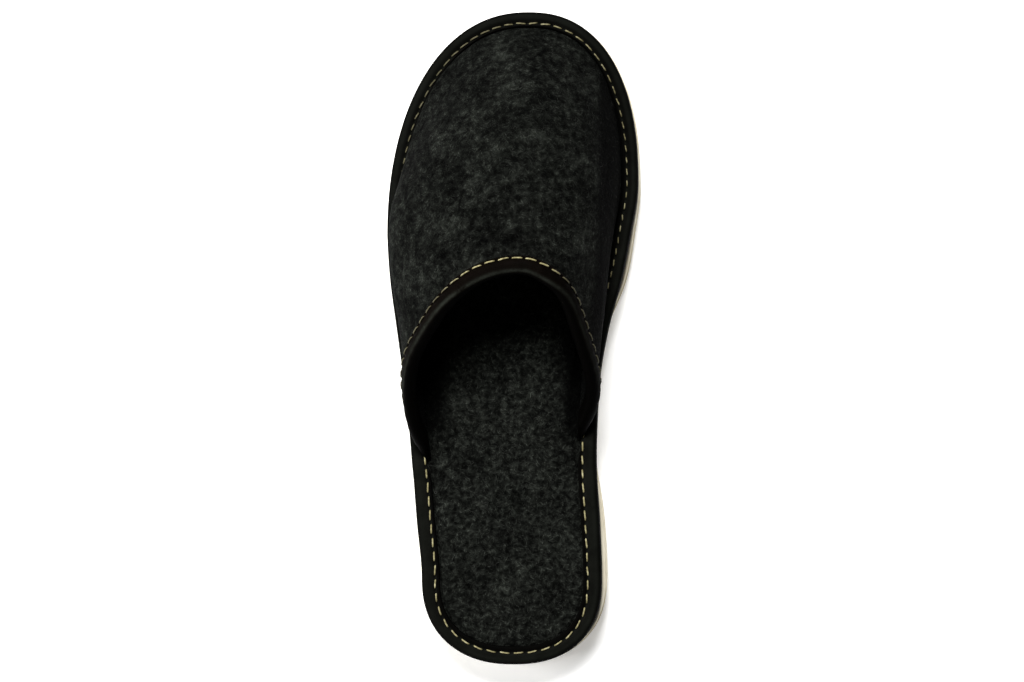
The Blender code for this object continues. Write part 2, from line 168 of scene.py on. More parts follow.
# The vamp's sections: crest and bulges are shares of VAMP_RISE and VAMP_BULGE.
VAMP_COLUMNS = ("along", "crest", "arch", "wall", "outer_bulge", "inner_bulge")
VAMP_ROWS = (
    (0.28, 1.14, 2.8, 2.1, 0.80, 0.80),
    (0.45, 1.10, 2.6, 2.1, 0.90, 0.95),
    (0.53, 1.06, 2.4, 2.1, 0.95, 0.75),
    (0.61, 1.00, 2.3, 2.1, 0.95, 0.22),
    (0.70, 0.88, 2.2, 2.0, 0.75, 0.03),
    (0.78, 0.75, 2.1, 1.8, 0.25, 0.00),
    (0.86, 0.61, 2.1, 1.6, 0.00, 0.00),
    (1.00, 0.36, 2.0, 1.3, 0.00, 0.00),
)
CREST_OFFSET_SHARE = 0.05
TOE_PIVOT_SHARE = 0.80
PIVOT_SOFTNESS_SHARE = 0.03

# The vamp's back edge, from its outer foot at turn 0 over the instep to its inner foot at 1.
COLLAR_COLUMNS = ("turn", "along")
COLLAR_ROWS = (
    (0.00, 0.312),
    (0.05, 0.352),
    (0.15, 0.458),
    (0.22, 0.505),
    (0.30, 0.551),
    (0.40, 0.589),
    (0.50, 0.601),
    (0.60, 0.585),
    (0.70, 0.554),
    (0.80, 0.493),
    (0.90, 0.420),
    (1.00, 0.345),
)
COVER_RAMP_SHARES = (0.035, 0.006)
WEDGE = (0.22, 0.60)
ARCH = (0.30, 0.54)
SPRING_START_SHARE = 0.74

# Creases and hollows of the vamp, each a soft trough or ridge at a place on its surface:
# the place, the half lengths of the patch both ways as shares of along and turn, the tilt that
# slants it, and its height in millimetres.
CREASE_ROWS = (
    (0.655, 0.50, 0.020, 0.200, 0.00, -0.55),
    (0.700, 0.46, 0.018, 0.160, 0.10, 0.40),
    (0.735, 0.56, 0.016, 0.170, -0.12, -0.45),
    (0.560, 0.20, 0.060, 0.045, 0.60, -0.60),
    (0.620, 0.25, 0.030, 0.060, 0.40, 0.45),
    (0.600, 0.80, 0.055, 0.045, -0.50, -0.70),
    (0.850, 0.42, 0.040, 0.110, 0.20, 0.45),
    (0.900, 0.60, 0.035, 0.130, -0.20, -0.50),
    (0.780, 0.82, 0.080, 0.050, -0.10, -0.80),
    (0.480, 0.08, 0.050, 0.030, 0.40, 0.40),
    (0.510, 0.10, 0.090, 0.060, 0.00, -1.50),
    (0.690, 0.09, 0.050, 0.060, 0.00, 1.10),
)

# The edge stitching along the length: how far in from the outline, the step from stitch to
# stitch, a stitch's own length and the thread's radius, in millimetres.
STITCH_COLUMNS = ("along", "inset", "pitch", "length", "radius")
STITCH_ROWS = (
    (0.00, 5.2, 5.9, 4.2, 0.31),
    (0.10, 5.8, 5.9, 4.2, 0.32),
    (0.30, 6.0, 5.9, 4.2, 0.34),
    (0.42, 5.4, 5.5, 3.5, 0.32),
    (0.60, 4.9, 5.0, 2.8, 0.26),
    (0.80, 4.8, 5.0, 2.9, 0.24),
    (0.92, 4.9, 5.3, 3.9, 0.26),
    (1.00, 4.9, 5.3, 4.1, 0.30),
)


def smooth_step(low, high, value):
    """0 below low, 1 above high, and the S curve 3 t^2 - 2 t^3 between them."""
    share = np.clip((value - low) / (high - low), 0.0, 1.0)
    return share * share * (3.0 - 2.0 * share)


def bell(value, half):
    """1 at 0 and falling away on both sides, as e to the power -(value / half)^2."""
    return np.exp(-((value / half) ** 2))


def unit(vectors):
    """The vectors at length 1."""
    return vectors / np.linalg.norm(vectors, axis=-1, keepdims=True)


def running_total(steps):
    """The sum of the steps so far, from 0 before the first."""
    return np.concatenate([[0.0], np.cumsum(steps)])


def table_curve(columns, rows, wanted, place, flat_ends=True):
    """A column of a table as a smooth cubic curve through its rows, read at place."""
    knots = np.array([row[0] for row in rows])
    values = np.array([row[columns.index(wanted)] for row in rows])
    slopes = np.gradient(values, knots)
    if flat_ends:
        slopes[0] = slopes[-1] = 0.0
    place = np.clip(place, knots[0], knots[-1])
    i = np.clip(np.searchsorted(knots, place, side="right") - 1, 0, len(knots) - 2)
    span = knots[i + 1] - knots[i]
    t = (place - knots[i]) / span
    return (
        (2 * t**3 - 3 * t**2 + 1) * values[i]
        + (t**3 - 2 * t**2 + t) * span * slopes[i]
        + (3 * t**2 - 2 * t**3) * values[i + 1]
        + (t**3 - t**2) * span * slopes[i + 1]
    )


def along_of(y):
    return y / LENGTH + 0.5


def y_of(along):
    return LENGTH * (along - 0.5)


def half_width(side, along):
    """Distance of one side of the outline from the axis, between the round ends."""
    return BALL_WIDTH * table_curve(OUTLINE_COLUMNS, OUTLINE_ROWS, side, along)


def outline(side, along, inset=0.0):
    """Plan points of one side of the outline, moved inwards by inset along its normal.

    The middle follows the table, and each end is a superellipse, t^n + u^n = 1.
    """
    along = np.asarray(along, float)
    sign = -1.0 if side == "outer" else 1.0
    y = y_of(along)
    step = 1e-4
    slope = half_width(side, along + step) - half_width(side, along - step)
    x = sign * half_width(side, along)
    normal_x = np.full_like(along, sign)
    normal_y = -slope / (2 * step * LENGTH)
    heel, toe = HEEL_START[side], TOE_START[side]
    ends = (
        (along < heel, -1.0, heel, heel, HEEL_FULLNESS[side], 0.0),
        (along > toe, 1.0, toe, 1 - toe, TOE_FULLNESS[side], TOE_TIP_SHARE),
    )
    for inside, forward, start, depth, fullness, tip_share in ends:
        tip = tip_share * BALL_WIDTH
        reach = half_width(side, np.array(start)) - sign * tip
        t = np.clip(np.abs(along - start) / depth, 0.0, 1.0)
        u = (1.0 - t**fullness) ** (1.0 / fullness)
        x = np.where(inside, tip + sign * reach * u, x)
        across = sign * u ** (fullness - 1) / reach
        lengthways = forward * t ** (fullness - 1) / (depth * LENGTH)
        normal_x = np.where(inside, across, normal_x)
        normal_y = np.where(inside, lengthways, normal_y)
    size = np.hypot(normal_x, normal_y)
    return x - inset * normal_x / size, y - inset * normal_y / size


def toe_spring(along):
    """The rise of the toe, (share of the way from the spring's start) squared."""
    return np.clip((along - SPRING_START_SHARE) / (1 - SPRING_START_SHARE), 0, None) ** 2


def sole_bottom(y):
    """Flat heel and forefoot, a low arch as a squared sine, and the toe spring."""
    along = along_of(y)
    low, high = ARCH
    arch = np.sin(math.pi * np.clip((along - low) / (high - low), 0, 1)) ** 2
    return TOE_SPRING * toe_spring(along) + ARCH_LIFT * arch


def sole_top(y):
    """A wedge that runs out forward on an S curve, with the toe spring."""
    along = along_of(y)
    wedge = 1 - smooth_step(*WEDGE, along)
    return FOREFOOT_THICKNESS + HEEL_RISE * wedge + TOE_SPRING * toe_spring(along)


def glue_line(y):
    return sole_top(y) + GAP


def rebate(y):
    return glue_line(y) + BINDING_THICKNESS + GAP


def seat(y):
    return rebate(y) + INSOLE_THICKNESS


def pad_top(y):
    return seat(y) + INSOLE_PUFF


def margin_top(y):
    return seat(y) + GAP + MARGIN_THICKNESS


def collar_along(turn):
    return table_curve(COLLAR_COLUMNS, COLLAR_ROWS, "along", turn, flat_ends=False)


def vamp_cover(is_outer, along):
    """1 where the vamp's margin lies under the strip, 0 behind it, and a ramp between."""
    end = np.where(is_outer, COLLAR_ROWS[0][1], COLLAR_ROWS[-1][1])
    back, front = COVER_RAMP_SHARES
    return smooth_step(0.0, 1.0, (along - end + back) / (back - front))


def loop_at(is_outer, along, inset):
    """Plan points of a loop's places, moved in by inset."""
    outer_x, outer_y = outline("outer", along, inset)
    inner_x, inner_y = outline("inner", along, inset)
    return np.where(is_outer, outer_x, inner_x), np.where(is_outer, outer_y, inner_y)


def vamp_surface(along, turn):
    """Points of the vamp's outer face, without its creases.

    Each section is an arch from the feather line up to a ridge. turn * pi is the arch's
    angle, its cosine is the share of the way out from the ridge, and the height is
    (1 - cosine ** arch) ** (1 / wall). Round the toe the sections fan about one point.
    """
    along, turn = np.broadcast_arrays(np.asarray(along, float), np.asarray(turn, float))
    angle = math.pi * turn
    out = np.abs(np.cos(angle))
    is_outer = turn < 0.5
    columns = {c: table_curve(VAMP_COLUMNS, VAMP_ROWS, c, along) for c in VAMP_COLUMNS[2:]}
    height = (1 - out ** columns["arch"]) ** (1 / columns["wall"])
    foot_x, foot_y = loop_at(is_outer, along, FEATHER_INSET)
    edge_x, edge_y = loop_at(is_outer, along, 0.0)
    out_x, out_y = (edge_x - foot_x) / FEATHER_INSET, (edge_y - foot_y) / FEATHER_INSET
    spine_along = TOE_PIVOT_SHARE - PIVOT_SOFTNESS_SHARE * np.logaddexp(
        0, (TOE_PIVOT_SHARE - along) / PIVOT_SOFTNESS_SHARE
    )
    forward = smooth_step(0.3, TOE_PIVOT_SHARE, spine_along)
    spine_x = BALL_WIDTH * (CREST_OFFSET_SHARE + (TOE_TIP_SHARE - CREST_OFFSET_SHARE) * forward)
    spine_y = y_of(spine_along)
    bulge_share = np.where(is_outer, columns["outer_bulge"], columns["inner_bulge"])
    bulge = VAMP_BULGE * bulge_share * np.sin(math.pi * height**0.7) ** 2
    x = spine_x + (foot_x - spine_x) * out + out_x * bulge
    y = spine_y + (foot_y - spine_y) * out + out_y * bulge
    crest = VAMP_RISE * table_curve(VAMP_COLUMNS, VAMP_ROWS, "crest", along_of(y), False)
    z = margin_top(foot_y) + height * (crest + margin_top(y) - margin_top(foot_y))
    return np.stack([x, y, z], axis=-1)


def vamp_frame(along, turn):
    """Point, two directions in the surface and outward normal at places on the vamp.

    Each section mirrors itself past its ends at turns 0 and 1, and the last one is folded shut
    on the toe's middle line. The normal would be 0/0 at those ends and at the fold's top, so
    directions and normal are taken just short of them.
    """
    step = 1e-4
    point = vamp_surface(along, turn)
    along = np.minimum(along, 1 - 4 * step)
    turn = np.clip(turn, 4 * step, 1 - 4 * step)
    by_along = (vamp_surface(along + step, turn) - vamp_surface(along - step, turn)) / (2 * step)
    by_turn = (vamp_surface(along, turn + step) - vamp_surface(along, turn - step)) / (2 * step)
    return point, by_along, by_turn, unit(np.cross(by_turn, by_along))


def unevenness(points, wavelength, seed):
    """Soft hand-made irregularity between about -1 and 1: a sum of 14 plane waves."""
    rng = np.random.default_rng(seed)
    heading = unit(rng.normal(size=(14, 3)))
    rate = 2 * math.pi / (wavelength * rng.uniform(0.7, 1.6, 14))
    waves = np.sin(points @ (heading * rate[:, None]).T + rng.uniform(0, 2 * math.pi, 14))
    return waves.sum(axis=-1) / 4.0


def creases(along, turn):
    """Height of the vamp's creases: Gaussian patches, each narrow one way and long the other."""
    height = np.zeros(np.broadcast(along, turn).shape)
    for row in CREASE_ROWS:
        at, over, half_along, half_turn, tilt, rise = row
        across = (along - at - tilt * (turn - over)) / half_along
        length = (turn - over) / half_turn
        height = height + rise * MM * np.exp(-(across**2) - length**2)
    return height


def grid_quads(rows, columns, close_rows=False, close_columns=False):
    """Quads of a grid of points, as one array of index sums."""
    r = np.arange(rows if close_rows else rows - 1)[:, None]
    c = np.arange(columns if close_columns else columns - 1)[None, :]
    next_r, next_c = (r + 1) % rows, (c + 1) % columns
    corners = (r * columns + c, r * columns + next_c, next_r * columns + next_c)
    corners += (next_r * columns + c,)
    return np.stack(corners, axis=-1).reshape(-1, 4)


def joined(patches):
    """Several (points, quads) patches as one pair of arrays."""
    points, quads, start = [], [], 0
    for patch_points, patch_quads in patches:
        flat = np.asarray(patch_points).reshape(-1, 3)
        points.append(flat)
        quads.append(patch_quads + start)
        start += len(flat)
    return np.concatenate(points), np.concatenate(quads)


def placed(name, mesh, finish):
    """The mesh as a smooth object at the origin, with its finish and its body."""
    mesh.shade_smooth()
    mesh.materials.append(finish)
    piece = bpy.data.objects.new(name, mesh)
    bpy.context.scene.collection.objects.link(piece)
    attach(piece, "root")
    return piece


def add_piece(name, points, quads, finish, slot, marks=None):
    """A smooth mesh object at the origin, with coincident points merged and faces outward.

    marks maps the name of a point attribute to one number a point.
    """
    mesh = bpy.data.meshes.new(name)
    mesh.from_pydata(points.tolist(), [], quads.tolist())
    for mark, values in (marks or {}).items():
        layer = mesh.attributes.new(mark, "FLOAT", "POINT")
        layer.data.foreach_set("value", np.asarray(values, np.float32).ravel())
    work = bmesh.new()
    work.from_mesh(mesh)
    bmesh.ops.remove_doubles(work, verts=work.verts, dist=MERGE_DISTANCE)
    bmesh.ops.recalc_face_normals(work, faces=work.faces)
    if work.calc_volume(signed=True) < 0:
        bmesh.ops.reverse_faces(work, faces=work.faces)
    work.to_mesh(mesh)
    work.free()
    return placed(name, mesh, finish)


def point_arrays(mesh):
    """The places and normals of a mesh's points, as two arrays."""
    places = np.empty(len(mesh.vertices) * 3, np.float32)
    normals = np.empty(len(mesh.vertices) * 3, np.float32)
    mesh.vertices.foreach_get("co", places)
    mesh.vertices.foreach_get("normal", normals)
    return places.reshape(-1, 3).astype(float), normals.reshape(-1, 3).astype(float)


def to_angle(along):
    """The angle that stands for a share of the length, so that places crowd at both ends."""
    return np.arccos(1 - 2 * along)


def from_angle(angle):
    return 0.5 * (1 - np.cos(angle))


def side_run(side, inset):
    """One side of the outline, closely sampled: shares of the length and distance run."""
    along = from_angle(np.linspace(0, math.pi, OUTLINE_STEPS))
    x, y = outline(side, along, inset)
    return along, running_total(np.hypot(np.diff(x), np.diff(y)))


def even_stations(count):
    """Shares of the length from heel to toe, evenly spaced along the outer side's outline."""
    along, run = side_run("outer", 0.0)
    return from_angle(np.interp(np.linspace(0, run[-1], count), run, to_angle(along)))


def even_loop(count):
    """Places evenly spaced round the whole outline, from the heel up the outer side.

    Returns whether each is on the outer side, and its share of the length.
    """
    outer_along, outer_run = side_run("outer", 0.0)
    inner_along, inner_run = side_run("inner", 0.0)
    total = outer_run[-1] + inner_run[-1]
    place = np.arange(count) * total / count
    is_outer = place <= outer_run[-1]
    outer = np.interp(place, outer_run, to_angle(outer_along))
    inner = np.interp(total - place, inner_run, to_angle(inner_along))
    return is_outer, from_angle(np.where(is_outer, outer, inner))


def paired_loop(stations):
    """A closed loop over the same stations on both sides, so that rows can run across it."""
    is_outer = np.concatenate([np.ones(len(stations), bool), np.zeros(len(stations) - 2, bool)])
    return is_outer, np.concatenate([stations, stations[-2:0:-1]])


def rows_across(stations, inset, columns):
    """Plan points of straight rows from the outer side to the inner one, and the share across."""
    insets = [inset(side == "outer", stations) if callable(inset) else inset for side in SIDES]
    outer = np.stack(outline("outer", stations, insets[0]), axis=-1)
    inner = np.stack(outline("inner", stations, insets[1]), axis=-1)
    share = np.linspace(0, 1, columns)[None, :, None]
    plan = outer[:, None, :] * (1 - share) + inner[:, None, :] * share
    return plan[..., 0], plan[..., 1], np.broadcast_to(share[..., 0], plan.shape[:2])


def arc(centre, radius, start, end, steps):
    """Points (across, up) on a circle's arc, from the start to the end angle in degrees."""
    angle = np.radians(np.linspace(start, end, steps))
    return list(zip(centre[0] + radius * np.cos(angle), centre[1] + radius * np.sin(angle)))


def tubes(paths, ups, radius, sides, twist=0.0, plies=3, relief=0.0):
    """Round threads along many paths at once, as one (points, quads) pair.

    A path is carried by its tangent, its side = tangent x up, and its own up = side x tangent.
    A point of the skin is path + r (cos a side + sin a up), with the twisted plies in
    r = radius (1 + relief cos(plies a - twist run)).
    """
    count, steps = paths.shape[:2]
    tangent = unit(np.gradient(paths, axis=1))
    side = unit(np.cross(tangent, ups))
    own_up = np.cross(side, tangent)
    stride = np.linalg.norm(np.diff(paths, axis=1), axis=-1)
    run = np.concatenate([np.zeros((count, 1)), np.cumsum(stride, axis=1)], axis=1)
    angle = np.linspace(0, 2 * math.pi, sides, endpoint=False)[None, None, :]
    size = radius[..., None] * (1 + relief * np.cos(plies * angle - twist * run[..., None]))
    skin = (
        paths[:, :, None, :]
        + (size * np.cos(angle))[..., None] * side[:, :, None, :]
        + (size * np.sin(angle))[..., None] * own_up[:, :, None, :]
    )
    one = grid_quads(steps, sides, close_columns=True)
    quads = one[None] + (np.arange(count) * steps * sides)[:, None, None]
    return skin.reshape(-1, 3), quads.reshape(-1, 4)


def shell_of(name, sheet, depth_out, depth_in, finish):
    """A closed wall made from an open sheet.

    Its skins are the sheet moved inwards along its normals by depth_out and by depth_in, and
    quads join them round the sheet's open edge.
    """
    places, normals = point_arrays(sheet)
    count = len(places)
    corners = np.empty(len(sheet.loops), np.int32)
    starts = np.empty(len(sheet.polygons), np.int32)
    totals = np.empty(len(sheet.polygons), np.int32)
    sheet.loops.foreach_get("vertex_index", corners)
    sheet.polygons.foreach_get("loop_start", starts)
    sheet.polygons.foreach_get("loop_total", totals)
    following = np.arange(1, len(corners) + 1)
    following[starts + totals - 1] = starts
    edges = np.stack([corners, corners[following]], axis=-1)
    _, index, uses = np.unique(
        np.sort(edges, axis=1), axis=0, return_inverse=True, return_counts=True
    )
    a, b = edges[uses[index.ravel()] == 1].T
    rim = np.stack([b, a, a + count, b + count], axis=-1)
    back = corners[::-1] + count
    all_corners = np.concatenate([corners, back, rim.ravel()])
    all_starts = np.concatenate(
        [
            starts,
            (2 * len(corners) - starts - totals)[::-1],
            2 * len(corners) + 4 * np.arange(len(rim)),
        ]
    )
    skins = np.concatenate([places - normals * depth_out, places - normals * depth_in])
    mesh = bpy.data.meshes.new(name)
    mesh.vertices.add(len(skins))
    mesh.loops.add(len(all_corners))
    mesh.polygons.add(len(all_starts))
    mesh.vertices.foreach_set("co", skins.ravel())
    mesh.loops.foreach_set("vertex_index", all_corners)
    mesh.polygons.foreach_set("loop_start", all_starts)
    mesh.update(calc_edges=True)
    mesh.validate()
    return placed(name, mesh, finish)


def strip_lift(is_outer, along):
    return vamp_cover(is_outer, along) * (GAP + MARGIN_THICKNESS)


def strip_top(is_outer, along, y):
    """Top of the edge strip's upper lip, over the insole's rim or the vamp's margin."""
    return seat(y) + strip_lift(is_outer, along) + GAP + BINDING_THICKNESS


def stitch_table(wanted, along):
    return MM * table_curve(STITCH_COLUMNS, STITCH_ROWS, wanted, along)


def stitch_run(side):
    """The running number of edge stitches from the heel, a whole number at the toe's tip.

    It is the sum of distance over pitch, and comes with the angle that stands for the place.
    """
    along = from_angle(np.linspace(0, math.pi, OUTLINE_STEPS))
    x, y = outline(side, along, stitch_table("inset", along))
    stride = np.hypot(np.diff(x), np.diff(y))
    pitch = stitch_table("pitch", 0.5 * (along[1:] + along[:-1]))
    number = running_total(stride / pitch)
    return to_angle(along), number * round(number[-1]) / number[-1]


def stitch_pull(across, from_hole):
    """How deep the thread pulls the strip in: a channel along the seam, a dimple at each hole."""
    channel = CHANNEL_DEPTH * bell(across, CHANNEL_WIDTH)
    hole = np.exp(-((across / (0.6 * MM)) ** 2) - (from_hole / (0.7 * MM)) ** 2)
    return channel + NEEDLE_DIMPLE * hole


def edge_strip(finish):
    """The strip's section, carried round the outline.

    A section point has an inset, a share of the heel's extra width, a level from 0 at the
    lower lip to 1 at the upper one, and a rise above that level.
    """
    thick = BINDING_THICKNESS
    width, lower, upper = BINDING_TOP_WIDTH, STRIP_LOWER_ROUND, STRIP_ROUND
    soft = 0.5 * MM
    rows = [(inset, 0, 0, 0) for inset in np.linspace(BINDING_BOTTOM_WIDTH, lower, 4)[:-1]]
    rows += [(i, 0, 0, rise) for i, rise in arc((lower, lower), lower, -90, -180, 6)]
    for share in np.linspace(0, 1, 8)[1:-1]:
        bulge = -STRIP_WALL_BULGE * math.sin(math.pi * share)
        rows.append((bulge, 0, share, (1 - share) * lower + share * (thick - upper)))
    rows += [(i, 0, 1, rise) for i, rise in arc((upper, thick - upper), upper, 180, 90, 9)]
    for inset in np.linspace(upper, width - soft, 24)[1:-1]:
        rows.append((inset, (inset - upper) / (width - upper), 1, thick))
    rows += [(i, 1, 1, r) for i, r in arc((width - soft, thick - soft), soft, 90, 0, 5)]
    rows += [(width, 1, 1, 0), (0.6 * width, 0.5, 1, 0), (thick, 0, 1, 0)]
    rows += [(thick, 0, 0.5, 0.5 * thick), (thick, 0, 0, thick)]
    rows += [(BINDING_BOTTOM_WIDTH, 0, 0, thick)]
    inset, widen, level, rise = np.array(rows, float).T[:, :, None]
    is_outer, along = even_loop(EDGE_STRIP_STEPS)
    extra = BINDING_EXTRA_AT_HEEL * (1 - vamp_cover(is_outer, along))
    inset = inset + widen * extra
    x, y = loop_at(is_outer, along, inset)
    upper_level = strip_top(is_outer, along, y) - thick
    z = (1 - level) * glue_line(y) + level * upper_level + rise
    angle = to_angle(along)
    outer_number = np.interp(angle, *stitch_run("outer"))
    inner_number = np.interp(angle, *stitch_run("inner"))
    number = np.where(is_outer, outer_number, inner_number)
    from_hole = (number - np.round(number)) * stitch_table("pitch", along)
    on_top = (level == 1) & (rise > thick - soft) & (widen < 1.01)
    past = inset - stitch_table("inset", along)
    z -= on_top * stitch_pull(past, from_hole)
    points = np.stack([x, y, z], axis=-1)
    points[..., 2] += 0.06 * MM * unevenness(points, 9 * MM, 11) * (level == 1)
    # Painted highlight: a pale ridge along the middle of the strip's top.
    highlight_mark = bell(inset - 2.3 * MM, 0.9 * MM) * (level == 1) * (rise > 0)
    quads = grid_quads(*points.shape[:2], close_rows=True, close_columns=True)
    # Painted shade, kept in the mark named inside: 0.9 on the strip's outer rounding, 0.6 on its
    # lower side, 0.6 in a line just outside the stitches towards the toe, and 0.85 on the lip
    # inside the stitches.
    wall = 0.9 * (1 - smooth_step(0.3 * MM, 1.5 * MM, inset)) * np.ones(z.shape)
    wall = np.where(level * rise > 0.3 * thick, wall, 0.6)
    before = 0.6 * smooth_step(0.5, 0.8, along) * bell(past + 1.3 * MM, 0.7 * MM)
    lip = 0.85 * smooth_step(0.35 * MM, 0.8 * MM, past) * (level == 1)
    shade = np.maximum(np.maximum(wall, before), lip)
    marks = {"highlight_mark": np.broadcast_to(highlight_mark, z.shape), "inside": shade}
    return add_piece("edge_strip", points.reshape(-1, 3), quads, finish, "binding", marks)


def stitch_shape():
    """A stitch that rises from its hole and dives into the next: places v and heights.

    v runs from -1 to 1, and the height over the strip is STITCH_HEIGHT - STITCH_DIVE |v|^5,
    less the depth of the channel that the stitch lies in.
    """
    v = np.linspace(-1, 1, STITCH_STEPS)
    return v, STITCH_HEIGHT - STITCH_DIVE * np.abs(v) ** 5 - CHANNEL_DEPTH


def add_stitches(name, paths, ups, radius, thread_shade, finish):
    """Twisted plies along the stitches' paths, drawn in at both ends: radius (1 - |v|^14)."""
    v, _ = stitch_shape()
    radius = radius * (1 - np.abs(v) ** 14)[None, :]
    twist = 2 * math.pi / TWIST_PITCH
    points, quads = tubes(paths, ups, radius, THREAD_SIDES, twist, THREAD_PLIES, PLY_RELIEF)
    # The thread's painted shade, one number a point.
    marks = {"thread_shade": np.repeat(thread_shade.ravel(), THREAD_SIDES)}
    return add_piece(name, points, quads, finish, "binding", marks)


def edge_stitching(finish):
    """Twisted stitches that follow the strip's seam on both sides."""
    v, lift = stitch_shape()
    paths = []
    for side in SIDES:
        angle, number = stitch_run(side)
        middle = np.arange(round(number[-1]))[:, None] + 0.5
        along = from_angle(np.interp(middle, number, angle))
        reach = 0.5 * stitch_table("length", along) / stitch_table("pitch", along)
        rng = np.random.default_rng(5 if side == "outer" else 6)
        reach = reach * rng.uniform(0.93, 1.07, reach.shape)
        along = from_angle(np.interp(middle + v * reach, number, angle))
        slant = 0.16 * MM + 0.08 * MM * rng.normal(size=middle.shape)
        inset = stitch_table("inset", along) + slant * v
        x, y = outline(side, along, inset)
        z = strip_top(side == "outer", along, y) + lift
        paths.append(np.stack([x, y, z], axis=-1))
    paths = np.concatenate(paths)
    place = np.clip(along_of(paths[..., 1]), 0.0, 1.0)
    ups = np.broadcast_to((0.0, 0.0, 1.0), paths.shape)
    # Painted shade on the thread: 0.2 everywhere, and forward of the middle 0.28 more on the inner
    # side and 0.6 more on the outer side.
    outer = smooth_step(-20 * MM, 20 * MM, -paths[..., 0])
    thread_shade = 0.20 + (0.28 + 0.32 * outer) * smooth_step(0.45, 0.60, place)
    radius = stitch_table("radius", place)
    return add_stitches("edge_stitching", paths, ups, radius, thread_shade, finish)


def collar_lines(turn):
    """For places along the vamp's back edge, what carries a point off it into the felt.

    The direction into the felt is tangent x normal. Its rates in along and turn solve the
    two equations of the surface's directions, and turn square to the edge near its ends.
    """
    along = collar_along(turn)
    point, by_along, by_turn, normal = vamp_frame(along, turn)
    tangent = unit(np.gradient(point, axis=0))
    into_felt = np.cross(tangent, normal)
    into_felt *= np.sign(np.sum(into_felt * by_along, axis=-1, keepdims=True))
    along_length = np.linalg.norm(by_along, axis=-1)
    turn_length = np.linalg.norm(by_turn, axis=-1)
    mix = np.sum(by_along * by_turn, axis=-1)
    a = np.sum(into_felt * by_along, axis=-1)
    b = np.sum(into_felt * by_turn, axis=-1)
    det = along_length**2 * turn_length**2 - mix**2
    square = smooth_step(0.0175, 0.12, np.minimum(turn, 1 - turn))
    along_rate = square * (a * turn_length**2 - b * mix) / det + (1 - square) / along_length
    turn_rate = square * (b * along_length**2 - a * mix) / det
    return normal, into_felt, along, along_rate, turn_rate


def collar_at(lines, turn, depth, out):
    """Points at a depth into the felt from the back edge and a height out from its face."""
    _, into_felt, along, along_rate, turn_rate = lines
    inside = np.maximum(depth, 0.0)
    place, _, _, face = vamp_frame(along + inside * along_rate, turn + inside * turn_rate)
    past = np.minimum(depth, 0.0)[..., None]
    return place + past * into_felt + np.asarray(out)[..., None] * face


def collar_taper(turn):
    """The strip's size along the back edge: full, and narrowing where its ends are tucked in."""
    return 0.45 + 0.55 * smooth_step(0.004, 0.034, np.minimum(turn, 1 - turn))


def collar_seam():
    """The collar's stitch line: turns from end to end, and the running number of stitches."""
    turn = np.linspace(*COLLAR_SEAM_ENDS, COLLAR_STEPS)
    path = collar_at(collar_lines(turn), turn, np.full(len(turn), COLLAR_STITCH_DEPTH), 0 * turn)
    run = running_total(np.linalg.norm(np.diff(path, axis=0), axis=1))
    number = run / COLLAR_STITCH_PITCH
    return turn, number * round(number[-1]) / number[-1]


def collar_section():
    """The folded strip's section: how deep into the felt, and how far out from its face."""
    thick, width = COLLAR_THICKNESS, COLLAR_STRIP_WIDTH
    outer, inner = GAP, -(FELT_THICKNESS + 1.5 * GAP)
    rows = [(width, 0.4 * GAP), (width + 0.1 * MM, 0.5 * outer + 0.4 * thick)]
    rows += [(depth, outer + thick) for depth in np.linspace(width - 0.5 * MM, 1.6 * MM, 16)]
    middle, half = (outer + inner) / 2, (outer - inner) / 2 + thick
    angle = np.radians(np.linspace(90, -90, 17))
    reach = GAP + 1.3 * thick
    rows += list(zip(0.8 * MM - (reach + 0.8 * MM) * np.cos(angle), middle + half * np.sin(angle)))
    rows += [(depth, inner - thick) for depth in np.linspace(1.6 * MM, width, 5)]
    rows += [(depth, inner) for depth in np.linspace(width, -GAP, 5)]
    rows += [(depth, outer) for depth in np.linspace(-GAP, 0.9 * width, 5)]
    return np.array(rows).T


